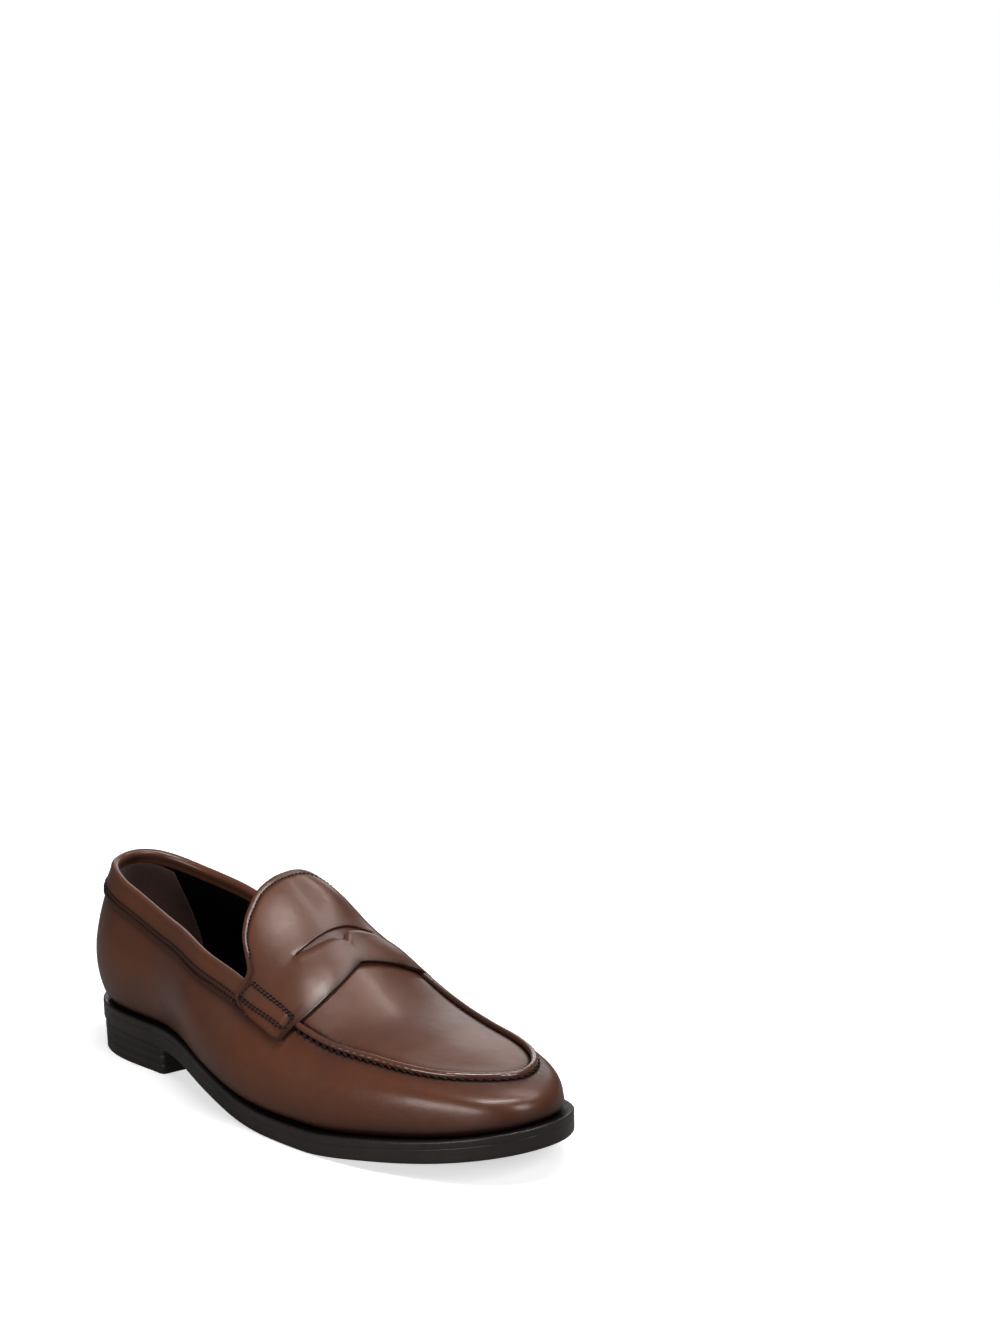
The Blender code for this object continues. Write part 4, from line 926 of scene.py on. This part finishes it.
def saddle_relief(x, arc):
    """Height of the saddle's outer face over the last."""
    share = side_share(arc)
    front = interpolate(SADDLE_FRONT, arc)
    slot = interpolate(SLOT_FRONT, arc)
    across = np.clip((x - slot) / (front - slot), 0, 1)
    onset = 1.6 - 0.75 * slot_mask(arc, 5)
    strap = np.sin(math.pi * across**0.85) ** onset * smooth_step((0.82 - share) / 0.35)
    height = 2.7 + 1.15 * strap
    height = height - 0.5 * bump(across - 0.5, 0.32) * bump(arc + 1, 12)
    height = height + 0.16 * bump(front - x - 5.5, 5.0) * smooth_step((0.90 - share) / 0.3)
    height = height + 0.20 * bump(x - slot - 2.6, 2.0) * slot_mask(arc, 3)
    height = height - 0.30 * bump(x - slot, 1.2) * slot_mask(arc, 2)
    groove = smooth_step((0.70 - share) / 0.04)
    inset = rear_inset(x, arc)
    height = height + (0.05 * bump(inset - 1.3, 0.7) - 0.32 * bump(inset - TONGUE_ROW_INSET, 0.85)) * groove
    tab = smooth_step((share - 0.77) / 0.03) * smooth_step((0.95 - share) / 0.03)
    tab = tab * smooth_step((x - 147) / 2) * smooth_step((174 - x) / 2)
    return height + 0.35 * tab


def on_tab(x, arc):
    """The outer tab's lower edge climbs a little towards the toe."""
    return arc + 2.2 * smooth_step((x - 146) / 28) * smooth_step((-arc - 40) / 20)


def saddle_columns(step, ends=SADDLE_ENDS):
    """Distances from the ridge, closer where the rear edge turns down to the tab."""
    dense = np.linspace(ends[0], ends[1], 2400)
    lengths = path_lengths(np.column_stack([dense, interpolate(SADDLE_REAR, dense)]))
    return np.interp(np.linspace(0, lengths[-1], int(lengths[-1] / step)), lengths, dense)


def saddle_points(x, arc, extra=0.0):
    return over_instep(x, on_tab(x, arc), saddle_relief(x, arc) + extra)


def saddle_burnish_and_shade(x, arc):
    """Darker along the edges, the slot and the stitched rows: dyed edges, and painted shade in the slot and
    along the stitch grooves.
    """
    _, front, slot_rear, slot_front = saddle_edges(arc)
    from_rear = rear_inset(x, arc)
    from_front = front - x
    # The rear edge's dye, and painted shade in the groove of the tongue's stitched row.
    burnish_and_shade = 0.35 * bump(from_rear, 0.5) + 0.65 * bump(from_rear - TONGUE_ROW_INSET, 1.0)
    # Darker towards the rear edge; the front edge is dyed dark and painted with shade along it as well.
    burnish_and_shade = burnish_and_shade + 0.2 * bump(from_rear, 6) + 0.75 * bump(from_front, 1.6) + 0.25 * bump(from_front, 5)
    # Painted shade at the slot's two edges; the tabs' ends are darker too.
    at_slot = 0.35 * bump(x - slot_rear, 1.3) + 0.2 * bump(x - slot_front, 1.0)
    burnish_and_shade = burnish_and_shade + at_slot * slot_mask(arc, 3) + 0.35 * bump((1 - side_share(arc)) * 58, 1.6)
    # Painted shade along the box's stitched rows and across its end.
    part = np.clip((x - 147) / 29, 0, 1)
    near_box = smooth_step((x - 144.5) / 2) * smooth_step((178.5 - x) / 2)
    for _, top, top_front, low, low_front, _ in TAB_ROWS:
        middle = math.copysign(TAB_ROW_GAP / 2, low)
        high_row = bump(arc - top - (top_front - top) * part - middle, 1.7)
        low_row = bump(arc - low - (low_front - low) * part + middle, 1.7)
        in_box = (np.abs(arc) > abs(top) - 1) & (np.abs(arc) < abs(low) + 1)
        end = bump(x - 176.2, 1.3) * in_box
        burnish_and_shade = burnish_and_shade + 0.4 * np.clip((high_row + low_row) * near_box + end, 0, 1)
    return np.clip(burnish_and_shade, 0, 0.9)


def saddle_edges(arc):
    """x of the rear edge, the front edge and the slot's two edges, which run on evenly past its ends."""
    rear = interpolate(SADDLE_REAR, arc)
    front = interpolate(SADDLE_FRONT, arc)
    in_slot = slot_mask(arc, 16)
    slot_rear = interpolate(SLOT_REAR, arc) * in_slot + (rear + (front - rear) * 0.50) * (1 - in_slot)
    slot_front = interpolate(SLOT_FRONT, arc) * in_slot + (rear + (front - rear) * 0.56) * (1 - in_slot)
    return rear, front, slot_rear, slot_front


def build_saddle():
    """Tongue and strap in one piece of calf, with the slot between them."""
    arcs = saddle_columns(0.62)
    rear, front, slot_rear, slot_front = saddle_edges(arcs)
    tongue_rows = 52
    strap_rows = 44
    lines = [rear + (slot_rear - rear) * t for t in np.linspace(0, 1, tongue_rows)]
    lines += [slot_front + (front - slot_front) * t for t in np.linspace(0, 1, strap_rows)]
    x = np.stack(lines[::-1], 1)
    arc = arcs[:, None] + 0 * x
    inside_slot = (arcs >= SLOT_ENDS[0]) & (arcs <= SLOT_ENDS[1])
    skipped = np.zeros(x.shape, bool)
    skipped[:, strap_rows - 1] = inside_slot & np.roll(inside_slot, -1)
    grid = saddle_points(x, arc)
    burnish_and_shade = saddle_burnish_and_shade(x, arc)
    ride(sheet("saddle_leather", grid, 1.4, CALF, burnish_and_shade, skipped=skipped, edge=0.3), "saddle_mask")


def build_saddle_underlays():
    """The lining that shows as a second edge round the tongue, and the leather behind the slot."""
    arcs = saddle_columns(0.9, (-43, 38))
    rear = interpolate(SADDLE_REAR, arcs) - 0.75
    x = np.stack([rear + (150.0 - rear) * t for t in np.linspace(1, 0, 30)], 1)
    grid = over_instep(x, arcs[:, None], 1.25)
    ride(sheet("tongue_lining_leather", grid, 0.9, CALF_EDGE, edge=0.25), "tongue_lining")
    arcs = np.linspace(-31, 27, 60)
    x = np.stack([149.6 + 17 * t + 0 * arcs for t in np.linspace(1, 0, 24)], 1)
    grid = over_instep(x, arcs[:, None], 1.35)
    # The leather seen through the slot is painted darker all over: painted shade.
    ride(sheet("slot_underlay", grid, 0.8, CALF, np.full(x.shape, 0.35)), "slot_backing")


def on_saddle(points):
    """Path and normals on the saddle's face through plan points (x, distance from the ridge)."""
    x, arc = np.asarray(points, float).T
    path = saddle_points(x, arc)
    return path, unit(saddle_points(x, arc, 1) - path)


def rounded(corners, radius):
    """A plan line through corners with its corners rounded."""
    corners = np.asarray(corners, float)
    line = [corners[0]]
    for before, corner, after in zip(corners[:-2], corners[1:-1], corners[2:]):
        for t in np.linspace(0, 1, 7):
            a = corner + unit(before - corner) * radius * (1 - t)
            b = corner + unit(after - corner) * radius * t
            line.append(a * (1 - t) + b * t)
    line = np.array(line + [corners[-1]])
    return evenly(line, int(path_lengths(line)[-1] / 0.5), False)


def build_saddle_stitching():
    """One row along the tongue's edge, and a box of double rows on each tab."""
    arcs = saddle_columns(0.5, (-45.5, 39))
    edge = np.column_stack([interpolate(SADDLE_REAR, arcs), arcs])
    tangent = unit(np.gradient(edge, axis=0))
    inner = edge + np.column_stack([tangent[:, 1], -tangent[:, 0]]) * TONGUE_ROW_INSET
    row = [(*on_saddle(inner), 2.2, 1.35, 0.0, 0.28)]
    ride(stitches("tongue_stitches", row, RED_THREAD, 0.36, line=0.12))
    for name, top, top_front, low, low_front, tilt in TAB_ROWS:
        away = math.copysign(TAB_ROW_GAP, low)
        corners = [(172.8, low_front), (175.9, low_front - 1.3 * away), (176.6, top_front)]
        lines = [
            [(148.4, top), (176.6, top_front)],
            [(148.2, top + away), (175.6, top_front + away)],
            [(145.4, low), (172.8, low_front)],
            [(146.2, low - away), (174.6, low_front - 1.1 * away)],
            rounded(corners, 1.4),
            [(145.6, low), (148.2, top + away)],
        ]
        dense = [evenly(np.asarray(line, float), 60, False) for line in lines]
        rows = [(*on_saddle(line), 2.3, 1.4, tilt, 0.26) for line in dense]
        ride(stitches(f"strap_box_stitches_{name}", rows, THREAD, 0.43, line=0.15), f"strap_stitching_{name}")


# ---- the collar ----------------------------------------------------------------------------------
def build_collar():
    """The band round the opening: folded over the edge, with a facing inside."""
    turns = ring_turns(1.6, 1.6, turn_at(153, 1) - 1, turn_at(153, -1))
    top = topline_share(turns)
    low = share_along(turns, top, -20.0)
    arcs, shares = column_table(turns, low, top)
    width = interpolate(COLLAR_WIDTH, feather_x(turns))
    # Rows of (distance up, distance out): the first five in band widths up, the rest in millimetres.
    outer = [(-1, 0.45), (-1.012, 0.95), (-1, 1.38), (-0.975, 1.52), (-0.93, 1.50)]
    section = [(-u, 1.42) for u in (11.0, 9.0, 7.0, 5.0, 3.2, 2.0)]
    section += [
        (-1.0, 1.55), (-0.2, 1.66), (0.55, 1.52), (1.12, 1.12), (1.5, 0.5), (1.62, -0.3), (1.5, -1.1),
        (1.1, -1.8), (0.4, -2.35), (-0.6, -2.68), (-2.0, -2.80), (-4.0, -2.86), (-5.3, -2.84), (-5.75, -2.62),
        (-5.7, -2.1), (-5.2, -1.85), (-3.0, -1.7), (-0.8, -1.5), (0.1, -0.9), (0.3, -0.2), (-0.4, 0.25),
        (-4.0, 0.4), (-8.0, 0.4), (-11.0, 0.42),
    ]
    section = [(width * u, v) for u, v in outer] + [(np.full(len(turns), u), v) for u, v in section]
    top_point = last_point(turns, top)
    up = unit(top_point - last_point(turns, share_along(turns, top, -1.0)))
    across = last_normal(turns, top)
    columns = []
    burnish_and_shade = []
    for height, v in section:
        if height[0] <= -0.95:
            share = shares_at(arcs, shares, (arcs[:, -1] + height)[:, None])[:, 0]
            columns.append(last_point(turns, share) + last_normal(turns, share) * v)
        else:
            columns.append(top_point + up * height[:, None] + across * v)
        # Darker at the band's lower edge and round its stitched rows.
        dark = 0.65 * bump(height + width, 1.6) + 0.50 * bump(height + width - 3, 2.2)
        # Painted shade on the facing just inside the fold at the top.
        inside_fold = v < -1.5
        burnish_and_shade.append(dark + 0.75 * inside_fold * bump(height + 1.6, 1.1))
    back = bump(np.abs(turns) * RING_LENGTH, 6)[:, None]
    burnish_and_shade = np.clip(np.clip(np.stack(burnish_and_shade, 1), 0, 0.9) + 0.3 * back, 0, 0.9)
    band = loop_solid("collar_leather", np.stack(columns, 1), CALF, burnish_and_shade)
    ride(band, "collar_band", "collar_facing")

    def row(turn, down, pitch, length):
        share = share_along(turn, topline_share(turn), -down)
        normals = last_normal(turn, share)
        return (last_point(turn, share) + normals * 1.50, normals, pitch, length, 0.0, 0.20)

    rows = []
    tail = 9.5 / RING_LENGTH
    for start, end in ((turn_at(150, 1) - 1, -tail), (tail, turn_at(150, -1))):
        dense = np.linspace(start, end, 400)
        for up_by in (2.0, 4.1):
            rows.append(row(dense, interpolate(COLLAR_WIDTH, feather_x(dense)) - up_by, 2.2, 1.45))
    for side in (-1, 1):
        down = COLLAR_WIDTH[0][1] - np.linspace(1.6, 5.0, 40)
        rows.append(row(np.full(40, side * 9.2 / RING_LENGTH), down, 2.0, 1.3))
    ride(stitches("collar_stitches", rows, THREAD, 0.42, line=0.14))


def build_back_seam():
    """Cross stitches up the closed seam at the back of the heel."""
    back = np.zeros(200)
    top = share_along(back, topline_share(back), -COLLAR_WIDTH[0][1] - 1.0)[0]
    share = np.linspace(0.05, top, len(back))
    normals = last_normal(back, share)
    lifted = last_point(back, share) + normals * 0.15
    rows = [(lifted, normals, 2.2, 2.6, slant, 0.16) for slant in (0.9, -0.9)]
    ride(stitches("back_seam_cross_stitches", rows, SEAM_THREAD, 0.21), "back_seam_thread")


# ---- the inside ----------------------------------------------------------------------------------
def lining_piece(name, start, end, count, top_gap, depth, finish, replaced, edge_lean=0.0):
    """A stretch of lining between two turns, from the sole to just under the facing."""
    bottom = 0.02
    t = np.linspace(0, 1, count)
    rows = np.linspace(0, 1, 34)
    turns = start + (end - start) * t
    top = share_along(turns, seam_share(turns), -top_gap)
    share = bottom + (top - bottom)[:, None] * rows
    turn = turns[:, None] + (2 * t - 1)[:, None] * edge_lean * rows**1.5
    grid = last_point(turn, share) - last_normal(turn, share) * depth
    margin = [over_feather(inside_ring(FEATHER, turns, inset + depth), 1.7) for inset in (7.0, 3.5, 1.0)]
    grid = np.concatenate([np.stack(margin, 1), grid], 1)
    ride(sheet(name, grid, 0.8, finish, edge=0.2), *replaced)


def build_linings():
    lining_piece(
        "heel_grip_suede_lining", turn_at(30, 1) - 1, turn_at(30, -1), 120, 4.6, 2.1, GRIP,
        ["heel_grip_lining", "heel_counter"], edge_lean=-0.021,
    )
    quarters = [("lateral", turn_at(12, -1), turn_at(130, -1)), ("medial", turn_at(130, 1), turn_at(12, 1))]
    for name, start, end in quarters:
        lining_piece(
            f"quarter_lining_leather_{name}", start, end, 130, 4.9, 1.55, LINING, [f"quarter_lining_{name}"]
        )
    lining_piece(
        "vamp_lining_leather", turn_at(128, -1), turn_at(128, 1), 220, 4.2, 1.8, LINING,
        ["vamp_lining", "toe_puff"],
    )


def plate(turns, edge, height, rows):
    """Points of a plate from its edge in to the spine, evenly between."""
    middle = spine(feather_x(turns))
    plan = middle[:, None] + (edge - middle)[:, None] * rows[None, :, None]
    return np.concatenate([plan, height(plan[..., 0], plan[..., 1])[..., None]], -1)


def build_sock():
    """The sock: a thin black leather with a rolled edge, raised over the heel pad."""
    turns = paired_turns(2.0)
    edge = inside_ring(FEATHER, turns, 5.4)
    rows = np.concatenate([[1.0, 0.985, 0.96, 0.93], np.linspace(0.88, 0, 22)])

    def top(x, y):
        return feather_height(x, y) + 6.1 + interpolate(SOCK_RISE, x)

    grid = plate(turns, edge, top, rows)
    ride(sheet("sock_leather_liner", grid, 1.0, SOCK, closed=True, edge=0.3), "sock_liner")


# ---- the bottom ----------------------------------------------------------------------------------
def build_welt():
    """The dark strip between upper and outsole, its top ledge showing all round."""
    turns = np.linspace(0, 1, 721)[:-1]
    section = [
        (9, 0), (5.6, 0), (5.0, -0.05), (4.0, 0.0), (2.4, 0.0), (1.3, 0.05), (0.55, 0.02), (0.22, -0.12),
        (0.05, -0.4), (0.0, -0.9), (0.0, -1.8), (0.0, -2.8), (0.0, -3.35), (0.03, -3.4), (9, -3.4),
    ]
    columns = [
        over_feather(inside_ring(OUTLINE, turns, inset), WELT_TOP + drop) for inset, drop in section[::-1]
    ]
    # The top ledge inside the edge is painted fully dark: painted shade in the groove between upper and welt.
    dark = [1.0 if inset > 1.5 else 0.0 for inset, _ in section[::-1]]
    burnish_and_shade = np.broadcast_to(dark, (len(turns), len(section)))
    ride(loop_solid("welt_strip", np.stack(columns, 1), SOLE, burnish_and_shade, closed=True), "welt")


def sole_underside(x, y):
    return np.maximum(feather_height(x, y) - interpolate(SOLE_EDGE, x), 0)


def tread(x, y, from_edge):
    """How far the underside is recessed: shallow cross ribs under the ball and toes, in a plain border."""
    fore = smooth_step((x - 150) / 6) * smooth_step((from_edge - 9.0) / 1.2)
    ribs = smooth_step((np.cos(2 * math.pi * (x + 0.0016 * y * y) / 6.0) - 0.05) / 0.5)
    return 0.9 * fore * ribs


def build_outsole():
    turns = paired_turns(0.9)
    outline = along_ring(OUTLINE, turns)
    columns = [plate(turns, outline, lambda x, y: feather_height(x, y) - 3.65, np.zeros(1))[:, 0]]
    for inset, drop in ((6.0, -3.75), (0.06, -3.75), (0.0, -3.8), (0.0, -4.1)):
        columns.append(over_feather(inside_ring(OUTLINE, turns, inset), drop))
    low_z = sole_underside(outline[:, 0], outline[:, 1]) + 1.0
    for t in (0.25, 0.5, 0.75):
        columns.append(np.column_stack([outline, columns[4][:, 2] * (1 - t) + low_z * t]))
    for inset, rise in ((0.02, 1.0), (0.15, 0.5), (0.45, 0.15), (0.95, 0.0)):
        plan = inside_ring(OUTLINE, turns, inset)
        columns.append(np.column_stack([plan, sole_underside(plan[:, 0], plan[:, 1]) + rise]))
    edge = inside_ring(OUTLINE, turns, 0.95)
    rows = np.concatenate([np.linspace(0.985, 0.6, 26), np.linspace(0.58, 0.0, 34)])
    bottom = plate(turns, edge, sole_underside, rows)
    from_edge = np.linalg.norm(edge - spine(feather_x(turns)), axis=1)[:, None] * (1 - rows)
    bottom[..., 2] += tread(bottom[..., 0], bottom[..., 1], from_edge)
    grid = np.concatenate([np.stack(columns, 1), bottom], 1)
    faces = grid_faces(*grid.shape[:2], True)[:, ::-1]
    ride(weld(new_object("outsole_rubber", grid.reshape(-1, 3), faces, SOLE), 0.02), "outsole")


def heel_outline(inset):
    """Plan outline of the heel, with the slanted breast in front and its two corners rounded."""
    path = OUTLINE + INWARD * inset
    kept = path[:, 0] < np.interp(path[:, 1], [-33, 33], BREAST_X)
    order = np.roll(np.arange(FINE), FINE // 2)
    arc = path[order][kept[order]][::6]
    outline = np.vstack([arc, evenly(np.vstack([arc[-1], arc[0]]), 60, False)[1:-1]])
    for _ in range(4):
        outline = (np.roll(outline, 1, 0) + 2 * outline + np.roll(outline, -1, 0)) / 4
    return outline


def closed_stack(name, columns, finish, capped_above):
    """A solid from rings of plan points with heights, lowest first, capped below and perhaps above."""
    grid = np.stack(columns, 1)
    index = np.arange(grid.shape[0] * grid.shape[1]).reshape(grid.shape[:2])
    faces = list(grid_faces(*grid.shape[:2], True)) + [index[::-1, 0]]
    if capped_above:
        faces.append(index[:, -1])
    return new_object(name, grid.reshape(-1, 3), faces, finish)


def lift_solid(name, inset, low, high, finish, rounding):
    """One flat layer of the heel, from height low to high, with softened edges."""
    outline = heel_outline(inset)
    towards = unit(outline.mean(0) - outline)
    soft = rounding * 0.3
    section = [(rounding, low), (soft, low + soft), (0, low + rounding), (0, (low + high) / 2)]
    section += [(0, high - rounding), (soft, high - soft), (rounding, high)]
    columns = [np.column_stack([outline + towards * by, np.full(len(outline), z)]) for by, z in section]
    return closed_stack(name, columns, finish, True)


def build_heel():
    """Stacked lifts: thin seams show between them. The upper lift's top follows the sole."""
    outline = heel_outline(0.7)
    centre = outline.mean(0)
    towards = unit(centre - outline)
    columns = []
    straight_to = 12.0
    for inset, z in ((0.12, 9.75), (0.04, 9.79), (0.0, 9.87), (0.0, straight_to)):
        columns.append(np.column_stack([outline + towards * inset, np.full(len(outline), z)]))

    def under_sole(plan):
        return sole_underside(plan[:, 0], plan[:, 1]) - 0.05

    for inset, share in ((0.0, 0.5), (0.0, 0.9), (0.1, 0.98), (0.35, 1.0)):
        plan = outline + towards * inset
        columns.append(np.column_stack([plan, straight_to + (under_sole(plan) - straight_to) * share]))
    for share in (0.9, 0.7, 0.4, 0.0):
        plan = centre + (outline + towards * 0.35 - centre) * share
        columns.append(np.column_stack([plan, under_sole(plan)]))
    ride(weld(closed_stack("heel_lift_upper_stack", columns, HEEL, False)), "heel_lift_upper")
    ride(lift_solid("heel_lift_lower_stack", 0.85, 4.95, 9.7, HEEL, 0.12), "heel_lift_lower")
    top_piece = lift_solid("heel_top_piece", 0.95, 0.0, 4.9, SOLE, 0.15)
    ride(top_piece, "heel_top_piece_rear", "heel_top_piece_front")


build_wall()
build_apron()
build_apron_seam()
build_saddle()
build_saddle_underlays()
build_saddle_stitching()
build_collar()
build_back_seam()
build_linings()
build_sock()
build_welt()
build_outsole()
build_heel()

# Sealed inside the shoe, kept as the CAD has them, with plain board, cork, foam and steel finishes.
INNER = {
    "insole_board": ((0.40, 0.29, 0.19), 0.85, 0.0),
    "cork_filler": ((0.30, 0.19, 0.10), 0.9, 0.0),
    "heel_pad": ((0.50, 0.46, 0.38), 0.9, 0.0),
    "shank": ((0.55, 0.56, 0.58), 0.35, 1.0),
}
for number in range(1, 6):
    INNER[f"heel_nail_{number}"] = ((0.5, 0.5, 0.52), 0.35, 1.0)
for node_name, (colour, roughness, metallic) in INNER.items():
    inner = Graph(node_name + "_finish")
    speckle = inner.noise(500, 4, 0.7)
    inner.set(Base_Color=inner.mix(speckle, shaded(colour, 0.75), shaded(colour, 1.2)))
    inner.set(Roughness=roughness, Metallic=metallic, Normal=inner.bump(speckle, 0.0002, 0.5))
    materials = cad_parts[node_name].data.materials
    materials.clear()
    materials.append(inner.material)


# ---- the set -------------------------------------------------------------------------------------
def build_floor():
    """Plain white paper, lit evenly out to the horizon."""
    data = bpy.data.meshes.new("floor")
    size = 8.0
    corners = [(-size, -size, 0), (size, -size, 0), (size, size, 0), (-size, size, 0)]
    data.from_pydata(corners, [], [(0, 1, 2, 3)])
    floor = bpy.data.objects.new("floor", data)
    bpy.context.scene.collection.objects.link(floor)
    floor.location.z = -0.0002
    g = Graph("floor_paper")
    away = g.node("VectorMath", {0: g.coordinates}, "Value", operation="LENGTH")
    seen = g.node("LightPath", {}, "Is Camera Ray")
    glow = g.times(g.remap(away, 0.30, 1.4, 0.56, 1.0), seen)
    paper = g.mix(seen, (0.20, 0.195, 0.19), (0.93, 0.93, 0.93))
    g.set(Base_Color=paper, Roughness=0.95, Specular_IOR_Level=0.1)
    g.set(Emission_Color=(1.0, 1.0, 1.0), Emission_Strength=glow)
    data.materials.append(g.material)


def area_light(name, location, target, width, height, power):
    data = bpy.data.lights.new(name, "AREA")
    data.shape = "RECTANGLE"
    data.size = width
    data.size_y = height
    data.energy = power
    light = bpy.data.objects.new(name, data)
    bpy.context.scene.collection.objects.link(light)
    light.location = location
    light.rotation_euler = (Vector(target) - Vector(location)).to_track_quat("-Z", "Y").to_euler()


def build_world(strength):
    """Dim, even room light; the camera sees plain white behind the floor."""
    world = bpy.data.worlds.new("studio")
    world.use_nodes = True
    tree = world.node_tree
    background = tree.nodes["Background"]
    background.inputs["Color"].default_value = (1, 1, 1, 1)
    rays = tree.nodes.new("ShaderNodeLightPath")
    level = tree.nodes.new("ShaderNodeMapRange")
    level.inputs["To Min"].default_value = strength
    level.inputs["To Max"].default_value = 1.0
    tree.links.new(rays.outputs["Is Camera Ray"], level.inputs["Value"])
    tree.links.new(level.outputs["Result"], background.inputs["Strength"])
    bpy.context.scene.world = world


def build_camera():
    """A little above the toe, on the outer side, slightly rolled."""
    azimuth = math.radians(43.35)
    elevation = math.radians(10.5)
    roll = math.radians(-0.98)
    level = math.cos(elevation)
    forward = Vector((-math.sin(azimuth) * level, math.cos(azimuth) * level, -math.sin(elevation)))
    right = forward.cross(Vector((0, 0, 1))).normalized()
    up = right.cross(forward)
    turned_right = right * math.cos(roll) + up * math.sin(roll)
    turned_up = up * math.cos(roll) - right * math.sin(roll)
    data = bpy.data.cameras.new("camera")
    data.sensor_width = 36
    data.lens = 61.4
    data.clip_start = 0.01
    camera = bpy.data.objects.new("camera", data)
    bpy.context.scene.collection.objects.link(camera)
    rotation = Matrix((turned_right, turned_up, -forward)).transposed()
    location = Vector(place((926.1, -692.0, 399.6)).tolist())
    camera.matrix_world = Matrix.Translation(location) @ rotation.to_4x4()
    bpy.context.scene.camera = camera


build_floor()
build_world(0.07)
area_light("overhead_softbox", (0.26, 0.0, 1.22), (0, 0, 0), 0.9, 0.15, 11.5)
area_light("far_strip", (0.1, 0.74, 1.03), (0, 0, 0.05), 0.9, 0.11, 2.7)
area_light("front_left_softbox", (0.25, -1.2, 0.36), (0.03, 0, 0.04), 0.8, 0.35, 8.0)
area_light("far_low_glow", (-0.85, 0.95, 0.52), (0.08, 0, 0.04), 1.1, 0.45, 2.6)
area_light("toe_softbox", (1.2, 0.10, 0.75), (0.1, 0, 0.05), 0.36, 0.6, 7.0)
build_camera()
bpy.context.scene.view_settings.view_transform = "Standard"
